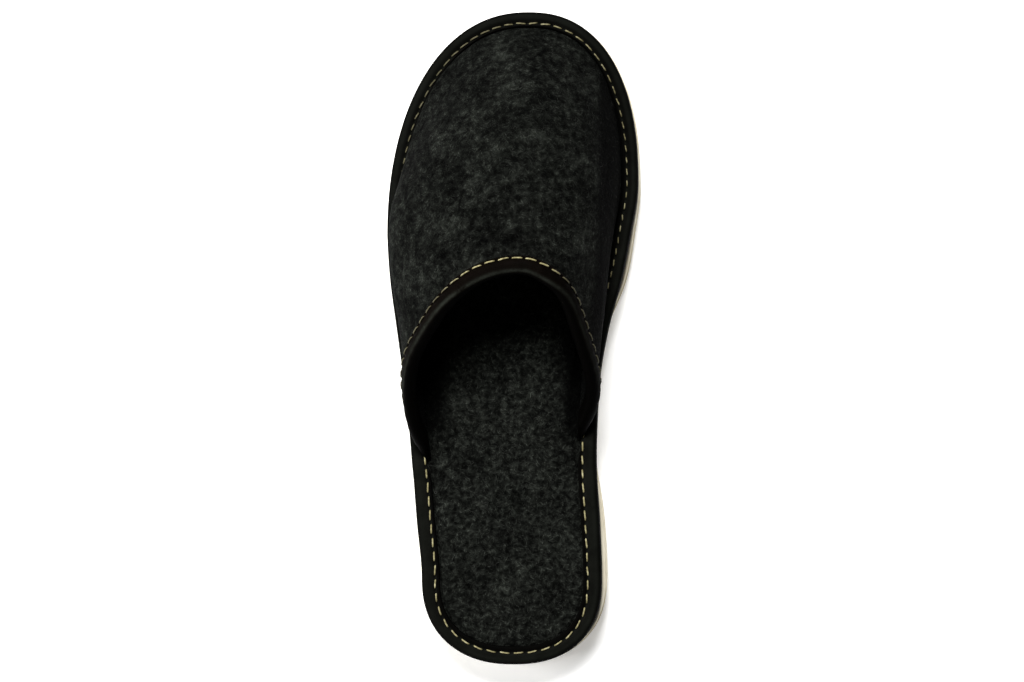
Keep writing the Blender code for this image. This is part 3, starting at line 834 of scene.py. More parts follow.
def collar_strip(finish):
    """The section carried along the back edge, drawn in along the seam and puffed beside it."""
    end = np.array([0.0070, 0.0100, 0.0130, 0.0165])
    turn = np.concatenate([end, np.linspace(0.02, 0.98, COLLAR_STRIP_STEPS), 1 - end[::-1]])
    lines = [part[:, None] for part in collar_lines(turn)]
    depth, out = collar_section()
    outer_skin = out > 0.5 * COLLAR_THICKNESS
    seam_turn, seam_number = collar_seam()
    number = np.interp(turn, seam_turn, seam_number)[:, None]
    from_hole = (number - np.round(number)) * COLLAR_STITCH_PITCH
    pull = stitch_pull(depth[None, :] - COLLAR_STITCH_DEPTH, from_hole)
    puff = 0.22 * MM * np.sin(math.pi * np.clip(depth / COLLAR_STITCH_DEPTH, 0, 1)) ** 2
    pucker = 0.07 * MM * np.cos(2 * math.pi * number) * (depth < 3.4 * MM)
    run = running_total(np.hypot(np.diff(depth), np.diff(out)))
    top_of_fold = int(np.argmax((depth < -0.3 * MM) & outer_skin))
    # Painted highlight on the rim of the fold, and painted shade: near black past the rim on the
    # strip's inner side, and at least 0.6 over the collar's inner side. At the sides both lie 1.7
    # mm further onto the outer face.
    aside = 1.7 * MM * smooth_step(0.10, 0.26, np.abs(turn - 0.5))
    from_fold = (run[top_of_fold] - run)[None, :] - aside[:, None]
    highlight_mark = bell(from_fold, 0.75 * MM)
    inside = 1 - smooth_step(-1.7 * MM, -0.5 * MM, from_fold)
    inside = np.maximum(inside, 0.6 * smooth_step(0.56, 0.70, turn)[:, None])
    out = out + outer_skin * (puff[None, :] - pull) - outer_skin * pucker
    size = collar_taper(turn)[:, None]
    top = GAP + COLLAR_THICKNESS
    depth = depth[None, :] * size
    out = top - (top - out) * size
    points = collar_at(lines, turn[:, None], depth, out)
    steps, count = points.shape[:2]
    quads = grid_quads(steps, count, close_columns=True)
    i = np.arange(count // 2 - 1)
    cap = np.stack([i, i + 1, count - 2 - i, count - 1 - i], axis=-1)
    quads = np.concatenate([quads, cap, cap + (steps - 1) * count])
    marks = {"highlight_mark": highlight_mark, "inside": inside}
    return add_piece("collar_strip", points.reshape(-1, 3), quads, finish, "binding", marks)


def collar_stitching(finish):
    """Twisted stitches on the collar's seam, shaped as the edge stitches are."""
    v, lift = stitch_shape()
    seam_turn, seam_number = collar_seam()
    rng = np.random.default_rng(8)
    middle = np.arange(round(seam_number[-1]))[:, None] + 0.5
    reach = 0.5 * COLLAR_STITCH_LENGTH / COLLAR_STITCH_PITCH * rng.uniform(0.93, 1.07, middle.shape)
    fine_turn = np.linspace(*COLLAR_SEAM_ENDS, COLLAR_STEPS)
    fine = collar_lines(fine_turn)
    turn = np.interp(middle + v * reach, seam_number, seam_turn)
    lines = []
    for part in fine:
        columns = part.reshape(len(fine_turn), -1).T
        read = np.stack([np.interp(turn, fine_turn, column) for column in columns], axis=-1)
        lines.append(read if part.ndim == 2 else read[..., 0])
    slant = 0.10 * MM * rng.normal(size=middle.shape)
    depth = COLLAR_STITCH_DEPTH + slant * v
    out = np.broadcast_to(GAP + COLLAR_THICKNESS + lift, depth.shape)
    paths = collar_at(lines, turn, depth, out)
    slim = 1.0 - 0.25 * smooth_step(0.08, 0.25, np.abs(turn - 0.5))
    # Painted shade on the thread: 0.84 on the outer side of the collar and 0.97 on its inner side,
    # none over the instep.
    outer = 0.84 * (1 - smooth_step(0.28, 0.42, turn))
    inner = 0.97 * smooth_step(0.55, 0.68, turn)
    radius = THREAD_RADIUS * slim
    return add_stitches("collar_stitching", paths, lines[0], radius, outer + inner, finish)


def foot_press(along, turn, above):
    """How far the foot of the wall is pushed out against the strip's lip, as a plan shift.

    The push is full on the outer side, less at the toe, and fades with height and towards
    the back edge. The inner side of the forefoot has almost none, and keeps a groove.
    """
    is_outer = turn < 0.5
    edge = np.stack(loop_at(is_outer, along, 0.0), axis=-1)
    foot = np.stack(loop_at(is_outer, along, FEATHER_INSET), axis=-1)
    grooved = smooth_step(0.44, 0.52, along) * (1 - smooth_step(0.85, 0.94, along))
    full = smooth_step(0.44, 0.52, along) * (1 - smooth_step(0.90, 0.98, along))
    share = np.where(is_outer, 0.5 + 0.5 * full, 0.5 - 0.5 * grooved)
    behind = smooth_step(0.0, 14 * MM, (along - collar_along(turn)) * LENGTH)
    push = FELT_PRESS * share * behind * (1 - smooth_step(3 * MM, 13 * MM, above))
    out = (edge - foot) / FEATHER_INSET
    return np.concatenate([out * push[..., None], 0 * push[..., None]], axis=-1)


def vamp_skin(along, turn):
    """The vamp's outer face with its creases, moved along the normal."""
    point, _, _, normal = vamp_frame(along, turn)
    height = point[..., 2] - margin_top(point[..., 1])
    above = smooth_step(2 * MM, 10 * MM, height)
    near_tip = 1 - smooth_step(0.93, 0.985, along)
    start = collar_along(turn)
    from_edge = smooth_step(0.0, 1.0, (along - start) * LENGTH / (12 * MM))
    relief = creases(along, turn) * from_edge + 0.22 * MM * unevenness(point, 26 * MM, 3)
    relief = relief + 0.05 * MM * unevenness(point, 7 * MM, 4) * from_edge
    along, turn = np.broadcast_arrays(along, turn)
    press = foot_press(along, turn, height)
    return point + (relief * above * near_tip)[..., None] * normal + press, normal


def vamp_sheet():
    """The vamp's outer face and the flat margin at its foot, as an open sheet."""
    turns = np.linspace(0, 1, VAMP_TURNS)[:, None]
    steps = np.sin(np.linspace(0, math.pi / 2, VAMP_STEPS))[None, :]
    start = collar_along(turns)
    along = start + (1 - start) * steps
    wall, _ = vamp_skin(along, turns)
    rows = []
    for side, column in (("outer", 0), ("inner", -1)):
        insets = np.linspace(BINDING_THICKNESS + 2 * GAP, 0.8 * FEATHER_INSET, 5)
        margin = []
        for inset in insets:
            x, y = outline(side, along[column], inset)
            margin.append(np.stack([x, y, margin_top(y)], axis=-1))
        rows.append(margin if side == "outer" else margin[::-1])
    grid = np.concatenate([rows[0], wall, rows[1]])
    quads = grid_quads(*grid.shape[:2])[:, ::-1]
    mesh = bpy.data.meshes.new("vamp_sheet")
    mesh.from_pydata(grid.reshape(-1, 3).tolist(), [], quads.tolist())
    work = bmesh.new()
    work.from_mesh(mesh)
    bmesh.ops.remove_doubles(work, verts=work.verts, dist=MERGE_DISTANCE)
    work.to_mesh(mesh)
    work.free()
    return mesh


def vamp_walls(felt, lining):
    """The felt wall, thinned towards its margin, and the lining on its inner face."""
    sheet = vamp_sheet()
    places, _ = point_arrays(sheet)
    above = places[:, 2] - margin_top(places[:, 1])
    thin = MARGIN_THICKNESS / FELT_THICKNESS
    share = smooth_step(0.1 * THINNING_RISE, THINNING_RISE, above)
    wall = (FELT_THICKNESS * (thin + (1 - thin) * share))[:, None]
    lined = wall - LINING_THICKNESS
    along = along_of(places[:, 1])
    # Painted shade, kept in the mark named groove: 0.93 on the outer face's inner side beyond about
    # 35 mm from the middle, from the waist to near the toe, and 0.93 over the felt's whole inner
    # face.
    brink = (38.4 - 4.0 * (1 - smooth_step(0.52, 0.64, along))) * MM
    inner = smooth_step(brink - 2.5 * MM, brink + 1.0 * MM, places[:, 0])
    groove = 0.93 * inner * smooth_step(0.33, 0.42, along) * (1 - smooth_step(0.90, 0.97, along))
    outside = shell_of("vamp_felt", sheet, 0 * wall, lined - 0.05 * MM, felt)
    mark = outside.data.attributes.new("groove", "FLOAT", "POINT")
    inner_face_shade = np.full_like(groove, 0.93)
    mark.data.foreach_set("value", np.concatenate([groove, inner_face_shade]).astype(np.float32))
    inside = shell_of("vamp_lining", sheet, lined, wall, lining)
    bpy.data.meshes.remove(sheet)
    return outside, inside


def footbed_relief(x, y):
    """The footbed's hand-made surface: a shallow heel hollow and a soft unevenness."""
    hollow = np.exp(-((x / (24 * MM)) ** 2) - ((y - y_of(0.16)) / (34 * MM)) ** 2)
    ball = np.exp(-((x / (34 * MM)) ** 2) - ((y - y_of(0.68)) / (30 * MM)) ** 2)
    flat = np.stack([x, y, 0 * x], axis=-1)
    wave = 0.16 * unevenness(flat, 30 * MM, 21) + 0.05 * unevenness(flat, 8 * MM, 22)
    return MM * wave - HEEL_HOLLOW * hollow - 0.6 * HEEL_HOLLOW * ball


def footbed_height(x, y):
    return pad_top(y) + footbed_relief(x, y)


def pad_edge(is_outer, along):
    """How far in the felt pad starts, further in where the vamp stands over it."""
    cover = vamp_cover(is_outer, along)
    return PAD_INSET_OPEN + (PAD_INSET_COVERED - PAD_INSET_OPEN) * cover


def ring_at(loop, inset, height):
    x, y = loop_at(*loop, inset)
    return np.stack([x, y, height(x, y)], axis=-1)


def side_patch(rings):
    """Rings one above another, joined into a solid's side."""
    return np.stack(rings), grid_quads(len(rings), len(rings[0]), close_columns=True)


def cap_patch(stations, inset, columns, height):
    """Rows straight across from side to side, which close a solid above or below."""
    x, y, _ = rows_across(stations, inset, columns)
    return np.stack([x, y, height(x, y)], axis=-1), grid_quads(len(stations), columns)


def insole_pieces(board_finish, felt_finish):
    """The board with its rebate, and the felt pad on it with a rolled, crowned edge."""
    stations = even_stations(INSOLE_STATIONS)
    loop = paired_loop(stations)
    rim = BINDING_THICKNESS + GAP
    lower = BINDING_BOTTOM_WIDTH + GAP
    felt_base = 2.0 * MM

    def board_top(x, y):
        return seat(y) - felt_base

    rings = [
        ring_at(loop, lower, lambda x, y: glue_line(y)),
        ring_at(loop, lower, lambda x, y: rebate(y)),
        ring_at(loop, rim, lambda x, y: rebate(y)),
        ring_at(loop, rim, board_top),
    ]
    patches = [
        side_patch(rings),
        cap_patch(stations, lower, CAP_COLUMNS, lambda x, y: glue_line(y)),
        cap_patch(stations, rim, CAP_COLUMNS, board_top),
    ]
    board = add_piece("insole_board", *joined(patches), board_finish, "felt")

    def pad_base(x, y):
        return board_top(x, y) + 0.05 * MM

    def pad_crown(is_outer, along):
        return pad_edge(is_outer, along) + PAD_ROUND

    inset = pad_edge(*loop)
    rings = [ring_at(loop, rim, pad_base)]
    rings.append(ring_at(loop, rim, lambda x, y: seat(y) - 0.4 * MM))
    rings.append(ring_at(loop, rim + 0.4 * MM, lambda x, y: seat(y)))
    rings.append(ring_at(loop, inset, lambda x, y: seat(y)))
    for share in np.linspace(0, 1, 11)[1:]:
        rise = (1 - (1 - share) ** 2.6) ** (1 / 1.7)
        rings.append(
            ring_at(
                loop,
                inset + PAD_ROUND * share,
                lambda x, y, rise=rise: seat(y) + rise * (INSOLE_PUFF + footbed_relief(x, y)),
            )
        )

    patches = [
        side_patch(rings),
        cap_patch(stations, rim, CAP_COLUMNS, pad_base),
        cap_patch(stations, pad_crown, RELIEF_COLUMNS, footbed_height),
    ]
    points, quads = joined(patches)
    # Painted shade of the wings: near black along both sides of the footbed, from 47 mm behind the
    # middle forward.
    x, y = points[:, 0] / MM, points[:, 1] / MM
    beside = np.maximum(smooth_step(22, 33, -x), smooth_step(17, 25, x))
    marks = {"groove": 0.90 * beside * smooth_step(-47, -36, y)}
    pad = add_piece("footbed_felt", points, quads, felt_finish, "felt", marks)
    return board, pad


def tread(x, y, edge):
    """Depth of the fine tread: wavy cross grooves, square-shouldered, clear of the border."""
    along = along_of(y)
    heel = smooth_step(0.03, 0.05, along) * (1 - smooth_step(0.27, 0.29, along))
    fore = smooth_step(0.50, 0.52, along) * (1 - smooth_step(0.94, 0.96, along))
    inside = smooth_step(TREAD_BORDER, TREAD_BORDER + 1.2 * MM, edge)
    wave = 1.8 * MM * np.sin(2 * math.pi * x / (21 * MM))
    groove = smooth_step(0.30, 0.62, np.cos(2 * math.pi * (y + wave) / TREAD_PITCH))
    return TREAD_DEPTH * groove * inside * np.maximum(heel, fore)


def sole_piece(finish):
    """Round lower edge, a side with one step, a flat top, and the tread below."""
    stations = even_stations(SOLE_STATIONS)
    loop = paired_loop(stations)

    def reach(is_outer, along):
        outer = table_curve(SOLE_COLUMNS, SOLE_ROWS, "outer", along)
        inner = table_curve(SOLE_COLUMNS, SOLE_ROWS, "inner", along)
        return -SOLE_REACH * np.where(is_outer, outer, inner)

    edge = SOLE_EDGE_ROUND
    rows = [(i, 0, rise) for i, rise in arc((edge, edge), edge, -90, -180, 8)]
    step, drop, top = SOLE_STEP_DEPTH, SOLE_STEP_DROP, SOLE_TOP_ROUND
    rows += [(0, 0.33, edge * 0.67 - 0.33 * (drop + 0.3 * MM))]
    rows += [(0, 0.66, edge * 0.34 - 0.66 * (drop + 0.3 * MM))]
    rows += [(0, 1, -drop - 0.30 * MM), (0.12 * MM, 1, -drop - 0.08 * MM)]
    rows += [(step - 0.2 * MM, 1, -drop), (step + 0.15 * MM, 1, -drop + 0.12 * MM)]
    rows += [(step, 1, -drop + 0.5 * MM), (step - 0.12 * MM, 1, -0.5 * (drop + top))]
    rows += [(step, 1, -top - 0.3 * MM)]
    rows += [(i, 1, r) for i, r in arc((step + top, -top), top, 180, 90, 5)]
    inset, level, rise = np.array(rows, float).T[:, :, None]
    x, y = loop_at(*loop, inset + reach(*loop))
    z = (1 - level) * sole_bottom(y) + level * sole_top(y) + rise
    rings = np.stack([x, y, z], axis=-1)

    x, y, share = rows_across(stations, lambda o, a: edge + reach(o, a), RELIEF_COLUMNS)
    width = np.hypot(x[:, -1] - x[:, 0], y[:, -1] - y[:, 0])[:, None]
    ends = np.minimum(y - (-LENGTH / 2), LENGTH / 2 - y)
    from_edge = np.minimum(np.minimum(share, 1 - share) * width, ends)
    below = np.stack([x, y, sole_bottom(y) + tread(x, y, from_edge)], axis=-1)

    def top_edge(is_outer, along):
        return step + top + reach(is_outer, along)

    patches = [
        side_patch(rings),
        (below, grid_quads(len(stations), RELIEF_COLUMNS)),
        cap_patch(stations, top_edge, CAP_COLUMNS, lambda x, y: sole_top(y)),
    ]
    return add_piece("sole_foam", *joined(patches), finish, "sole_foam")


def wandering(rng, count, steps, length, bend):
    """Plan offsets of loose hairs: a heading that turns steadily and wavers, summed up."""
    share = np.linspace(0, 1, steps)[None, :]
    reach = rng.uniform(*length, (count, 1)) * MM
    heading = rng.uniform(0, 2 * math.pi, (count, 1)) + rng.normal(0, bend, (count, 1)) * share
    phase = rng.uniform(0, 2 * math.pi, (count, 1))
    heading = heading + 0.7 * np.sin(2 * math.pi * share * 1.3 + phase)
    stride = reach / (steps - 1)
    a = np.cumsum(np.cos(heading) * stride, axis=1)
    b = np.cumsum(np.sin(heading) * stride, axis=1)
    return a - a.mean(axis=1, keepdims=True), b - b.mean(axis=1, keepdims=True), share


def hair_radius(thick, share):
    """Full in the middle of a hair and thin at both ends, as the root of a sine."""
    return thick * np.sqrt(np.clip(np.sin(math.pi * (0.02 + 0.96 * share)), 0, 1))


def bed_places(along, across, inset):
    """Plan points on the footbed, a share of the way across between its sides moved in."""
    outer = np.stack(outline("outer", along, inset), axis=-1)
    inner = np.stack(outline("inner", along, inset), axis=-1)
    return outer + (inner - outer) * across


def footbed_hairs(finish):
    """Loose wool hairs that lie in loops on the footbed, their ends sunk in the felt.

    Two are fixed: curls of lint, r = 0.75 t^0.5 millimetres, beside the end of the outer wing.
    """
    rng = np.random.default_rng(31)
    count, steps = LOOSE_HAIRS, 12
    along = rng.uniform(0.05, 0.52, count)
    at = bed_places(along, rng.uniform(0.04, 0.96, (count, 1)), 13.0 * MM)
    a, b, share = wandering(rng, count, steps, (2.0, 8.5), 2.6)
    x, y = at[:, :1] + a, at[:, 1:] + b
    curl = 0.75 * MM * np.sqrt(share[0])
    x[:2] = np.array([[-36.2], [-32.8]]) * MM + curl * np.cos(9 * share)
    y[:2] = np.array([[-58.5], [-66.0]]) * MM + curl * np.sin(9 * share)
    arch = rng.uniform(0.12, 0.55, (count, 1)) * MM
    z = footbed_height(x, y) + arch * np.sin(math.pi * share) - 0.12 * MM
    paths = np.stack([x, y, z], axis=-1)
    thick = rng.uniform(0.020, 0.050, (count, 1)) * MM
    thick[:2] = 0.11 * MM
    ups = np.broadcast_to((0.0, 0.0, 1.0), paths.shape)
    skins = tubes(paths, ups, hair_radius(thick, share), 4)
    return add_piece("footbed_hairs", *skins, finish, "felt")


def vamp_hairs(finish):
    """Loose hairs that lie on the vamp, each followed over its surface."""
    rng = np.random.default_rng(41)
    count, steps = LOOSE_HAIRS, 10
    turn = rng.uniform(0.07, 0.93, (count, 1))
    start = collar_along(turn) + 9 * MM / LENGTH
    along = start + (0.95 - start) * rng.uniform(0, 1, (count, 1)) ** 0.8
    _, by_along, by_turn, _ = vamp_frame(along, turn)
    a, b, share = wandering(rng, count, steps, (1.5, 6.0), 2.2)
    along = along + a / np.linalg.norm(by_along, axis=-1)
    turn = np.clip(turn + b / np.linalg.norm(by_turn, axis=-1), 0.03, 0.97)
    point, normal = vamp_skin(along, turn)
    arch = rng.uniform(0.10, 0.45, (count, 1)) * MM
    rise = arch * np.sin(math.pi * share) - 0.12 * MM
    paths = point + rise[..., None] * normal
    thick = rng.uniform(0.018, 0.040, (count, 1)) * MM
    skins = tubes(paths, normal, hair_radius(thick, share), 4)
    return add_piece("vamp_hairs", *skins, finish, "felt")


def nap(finish):
    """Short fibres that stand off the felt: each leans from the normal and curls to its tip."""
    rng = np.random.default_rng(51)
    count, bed = NAP_ON_VAMP, NAP_ON_FOOTBED
    turn = rng.uniform(0.02, 0.98, count)
    start = collar_along(turn) + 7 * MM / LENGTH
    along = start + (0.985 - start) * rng.uniform(0, 1, count) ** 0.85
    point, normal = vamp_skin(along, turn)
    bed_along = rng.uniform(0.05, 0.50, bed)
    plan = bed_places(bed_along, rng.uniform(0.02, 0.98, (bed, 1)), 12 * MM)
    bed_point = np.column_stack([plan, footbed_height(plan[:, 0], plan[:, 1])])
    point = np.concatenate([point, bed_point])
    normal = np.concatenate([normal, np.broadcast_to((0.0, 0.0, 1.0), (bed, 3))])
    total = count + bed
    lean = unit(np.cross(normal, rng.normal(size=(total, 3))))
    length = rng.uniform(0.5, 1.7, (total, 1, 1)) * MM
    tilt = rng.uniform(0.35, 1.25, (total, 1, 1))
    share = np.linspace(0, 1, 5)[None, :, None]
    curl = tilt + 0.7 * share
    step_out = np.cos(curl) * normal[:, None, :] + np.sin(curl) * lean[:, None, :]
    paths = point[:, None, :] - 0.1 * MM * normal[:, None, :] + length * share * step_out
    thick = rng.uniform(0.018, 0.034, (total, 1)) * MM
    radius = thick * (1 - 0.9 * np.linspace(0, 1, 5)[None, :] ** 2)
    ups = np.broadcast_to(normal[:, None, :] + 0.3 * lean[:, None, :], paths.shape)
    side_ups = ups + np.cross(lean, normal)[:, None, :]
    return add_piece("felt_nap", *tubes(paths, side_ups, radius, 3), finish, "felt")


def shader_node(tree, kind, inputs=(), **settings):
    """A shader node with its settings made and its sockets set or linked."""
    made = tree.nodes.new(kind)
    for key, value in settings.items():
        setattr(made, key, value)
    for key, value in dict(inputs).items():
        if isinstance(value, bpy.types.NodeSocket):
            tree.links.new(value, made.inputs[key])
        else:
            made.inputs[key].default_value = value
    return made


def maths(tree, operation, *values):
    return shader_node(
        tree, "ShaderNodeMath", dict(enumerate(values)), operation=operation
    ).outputs[0]


def between(tree, value, low, high, smooth=True):
    """0 below low, 1 above high, and a ramp between."""
    kind = "SMOOTHSTEP" if smooth else "LINEAR"
    inputs = {"Value": value, "From Min": low, "From Max": high}
    return shader_node(
        tree, "ShaderNodeMapRange", inputs, interpolation_type=kind, clamp=True
    ).outputs["Result"]


def noise(tree, vector, scale, detail=2.0, roughness=0.5, output="Fac"):
    inputs = {"Vector": vector, "Scale": scale, "Detail": detail, "Roughness": roughness}
    return shader_node(tree, "ShaderNodeTexNoise", inputs).outputs[output]


def start_group(name, inputs, outputs):
    """An empty shader group: a vector and named numbers go in, and named numbers come out."""
    tree = bpy.data.node_groups.new(name, "ShaderNodeTree")
    tree.interface.new_socket(name="Vector", in_out="INPUT", socket_type="NodeSocketVector")
    for label, value in inputs.items():
        made = tree.interface.new_socket(
            name=label, in_out="INPUT", socket_type="NodeSocketFloat"
        )
        made.default_value = value
    for label in outputs:
        tree.interface.new_socket(name=label, in_out="OUTPUT", socket_type="NodeSocketFloat")
    entry = tree.nodes.new("NodeGroupInput")
    leave = tree.nodes.new("NodeGroupOutput")
    return tree, entry, leave


def wool_group():
    """Pressed wool: wavy crossed fibres, darker and lighter clumps, and a faint cloud over all."""
    tree, entry, leave = start_group(
        "pressed wool",
        {
            "Fibre Scale": 620.0,
            "Clump Scale": 620.0,
            "Fibre Share": 0.5,
            "Clump Share": 0.5,
            "Cloud Share": 0.3,
            "Base": 0.1,
        },
        ("Tone", "Height"),
    )
    vector = entry.outputs["Vector"]
    drift = noise(tree, vector, 210.0, 2.0, 0.5, "Color")
    drift = shader_node(
        tree,
        "ShaderNodeVectorMath",
        {0: drift, 1: (0.0024,) * 3, 2: (-0.0012,) * 3},
        operation="MULTIPLY_ADD",
    ).outputs[0]
    wavy = shader_node(
        tree, "ShaderNodeVectorMath", {0: vector, 1: drift}, operation="ADD"
    ).outputs[0]
    strands = None
    for turn, lean in ((0.3, 0.5), (1.25, -0.4), (2.2, 0.3), (2.85, -0.6)):
        laid = shader_node(
            tree,
            "ShaderNodeMapping",
            {"Vector": wavy, "Rotation": (lean, 0.4 * lean, turn), "Scale": (1.0, 0.17, 0.20)},
            vector_type="TEXTURE",
        ).outputs["Vector"]
        strand = noise(tree, laid, entry.outputs["Fibre Scale"], 1.5, 0.5)
        strand = between(tree, strand, 0.57, 0.76)
        strands = strand if strands is None else maths(tree, "MAXIMUM", strands, strand)
    clumps = noise(tree, wavy, entry.outputs["Clump Scale"], 3.0, 0.62)
    clumps = between(tree, clumps, 0.33, 0.68, False)
    cloud = between(tree, noise(tree, vector, 62.0, 3.0, 0.60), 0.28, 0.72, False)
    shade = maths(
        tree, "MULTIPLY_ADD", clumps, entry.outputs["Clump Share"], entry.outputs["Base"]
    )
    tone = maths(tree, "MULTIPLY_ADD", cloud, entry.outputs["Cloud Share"], shade)
    lift = maths(tree, "MULTIPLY", strands, entry.outputs["Fibre Share"])
    tone = maths(tree, "ADD", tone, lift)
    height = maths(tree, "MULTIPLY_ADD", strands, 0.5, maths(tree, "MULTIPLY", clumps, 0.7))
    tree.links.new(tone, leave.inputs["Tone"])
    tree.links.new(height, leave.inputs["Height"])
    return tree


def grain_group():
    """Fine rounded cells with creases between them, and a slower unevenness under them."""
    inputs = {"Cell Scale": 1100.0, "Swell Scale": 160.0, "Cell Depth": 0.7}
    tree, entry, leave = start_group("fine grain", inputs, ("Height", "Tone"))
    vector = entry.outputs["Vector"]
    cells = shader_node(
        tree,
        "ShaderNodeTexVoronoi",
        {"Vector": vector, "Scale": entry.outputs["Cell Scale"]},
        feature="DISTANCE_TO_EDGE",
    ).outputs["Distance"]
    cells = between(tree, cells, 0.0, 0.28)
    swell = noise(tree, vector, entry.outputs["Swell Scale"], 3.0, 0.55)
    height = maths(tree, "MULTIPLY", cells, entry.outputs["Cell Depth"])
    tree.links.new(maths(tree, "ADD", height, swell), leave.inputs["Height"])
    tree.links.new(between(tree, swell, 0.3, 0.7, False), leave.inputs["Tone"])
    return tree


def highlight_and_grime_group():
    """A patchy mask: an edge mark broken up by a noise. On the strips it lays the painted
    highlight, on the foam its grime.
    """
    inputs = {"Edge": 0.0, "Patch Scale": 90.0, "Amount": 1.0}
    tree, entry, leave = start_group("highlight and grime patches", inputs, ("Mask",))
    vector = entry.outputs["Vector"]
    patches = between(tree, noise(tree, vector, entry.outputs["Patch Scale"], 4.0), 0.35, 0.65)
    fine = between(tree, noise(tree, vector, 900.0, 2.0), 0.3, 0.7, False)
    broken = maths(tree, "MULTIPLY_ADD", patches, 0.6, maths(tree, "MULTIPLY", fine, 0.4))
    mask = maths(tree, "MULTIPLY", entry.outputs["Edge"], broken)
    mask = maths(tree, "MULTIPLY", mask, entry.outputs["Amount"])
    tree.links.new(mask, leave.inputs["Mask"])
    return tree


def lint_group():
    """Specks of pale lint: small round cells, of which only a share are filled."""
    inputs = {"Speck Scale": 130.0, "Share": 0.1}
    tree, entry, leave = start_group("lint", inputs, ("Mask",))
    specks = shader_node(
        tree,
        "ShaderNodeTexVoronoi",
        {"Vector": entry.outputs["Vector"], "Scale": entry.outputs["Speck Scale"]},
        feature="F1",
    )
    beyond = between(tree, specks.outputs["Distance"], 0.02, 0.07)
    round_speck = maths(tree, "SUBTRACT", 1.0, beyond)
    chance = shader_node(
        tree, "ShaderNodeSeparateColor", {"Color": specks.outputs["Color"]}
    ).outputs[0]
    filled = maths(tree, "LESS_THAN", chance, entry.outputs["Share"])
    tree.links.new(maths(tree, "MULTIPLY", round_speck, filled), leave.inputs["Mask"])
    return tree


def start_finish(name, roughness, specular):
    """A material with its Principled shader and the object's own coordinates."""
    made = bpy.data.materials.new(name)
    made.use_nodes = True
    tree = made.node_tree
    shader = tree.nodes["Principled BSDF"]
    shader.inputs["Roughness"].default_value = roughness
    shader.inputs["Specular IOR Level"].default_value = specular
    where = tree.nodes.new("ShaderNodeTexCoord").outputs["Object"]
    return made, tree, shader, where


def placed_group(tree, group, inputs):
    return shader_node(tree, "ShaderNodeGroup", inputs, node_tree=group).outputs


def mark_of(tree, name):
    """One of the piece's own marks, as a mask."""
    return shader_node(tree, "ShaderNodeAttribute", attribute_name=name).outputs["Fac"]


def colour_ramp(tree, value, stops):
    """A colour ramp through (place, colour) stops."""
    made = shader_node(tree, "ShaderNodeValToRGB", {"Fac": value})
    ramp = made.color_ramp
    ramp.elements[0].position, ramp.elements[0].color = stops[0][0], (*stops[0][1], 1)
    ramp.elements[1].position, ramp.elements[1].color = stops[-1][0], (*stops[-1][1], 1)
    for place, colour in stops[1:-1]:
        ramp.elements.new(place).color = (*colour, 1)
    return made.outputs["Color"]


def blended(tree, mask, colour, other):
    """colour where the mask is 0 and other where it is 1."""
    made = shader_node(tree, "ShaderNodeMix", {0: mask}, data_type="RGBA")
    for socket, value in ((made.inputs[6], colour), (made.inputs[7], other)):
        if isinstance(value, bpy.types.NodeSocket):
            tree.links.new(value, socket)
        else:
            socket.default_value = (*value, 1)
    return made.outputs[2]


def bumped(tree, shader, height, distance, strength=1.0):
    made = shader_node(
        tree, "ShaderNodeBump", {"Height": height, "Distance": distance, "Strength": strength}
    )
    tree.links.new(made.outputs["Normal"], shader.inputs["Normal"])


def wool_stops(level):
    """The wool's colours from shade to highlight, all dark and faintly green, at one level."""
    tones = ((0.10, 0.0004), (0.30, 0.0019), (0.45, 0.0041), (0.62, 0.0088))
    tones += ((0.80, 0.017), (1.00, 0.036))
    return tuple((place, (level * t, level * 1.11 * t, level * 0.93 * t)) for place, t in tones)


def felt_finish(name, groups, level, scales, shares, lint_share):
    """Charcoal wool felt: the wool group's tone through the wool's colours at one level.

    scales are those of the fibres and of the clumps, and shares those of fibres, clumps and
    cloud. The base keeps the middle tone at 0.43.
    """
    made, tree, shader, where = start_finish(name, 0.95, 0.02)
    wool = placed_group(
        tree,
        groups["wool"],
        {
            "Vector": where,
            "Fibre Scale": scales[0],
            "Clump Scale": scales[1],
            "Fibre Share": shares[0],
            "Clump Share": shares[1],
            "Cloud Share": shares[2],
            "Base": 0.43 - 0.5 * (shares[1] + shares[2]),
        },
    )
    colour = colour_ramp(tree, wool["Tone"], wool_stops(level))
    lint = placed_group(tree, groups["lint"], {"Vector": where, "Share": lint_share})
    colour = blended(tree, lint["Mask"], colour, (0.050, 0.050, 0.043))
    # Painted shade: the felt goes near black where its groove mark is set.
    groove = mark_of(tree, "groove")
    colour = blended(tree, groove, colour, (0.0004, 0.0004, 0.0004))
    tree.links.new(colour, shader.inputs["Base Color"])
    bumped(tree, shader, wool["Height"], 0.0006, 0.9)
    shader.inputs["Sheen Weight"].default_value = 0.014
    shader.inputs["Sheen Roughness"].default_value = 0.32
    shader.inputs["Sheen Tint"].default_value = (0.30, 0.31, 0.29, 1)
    return made


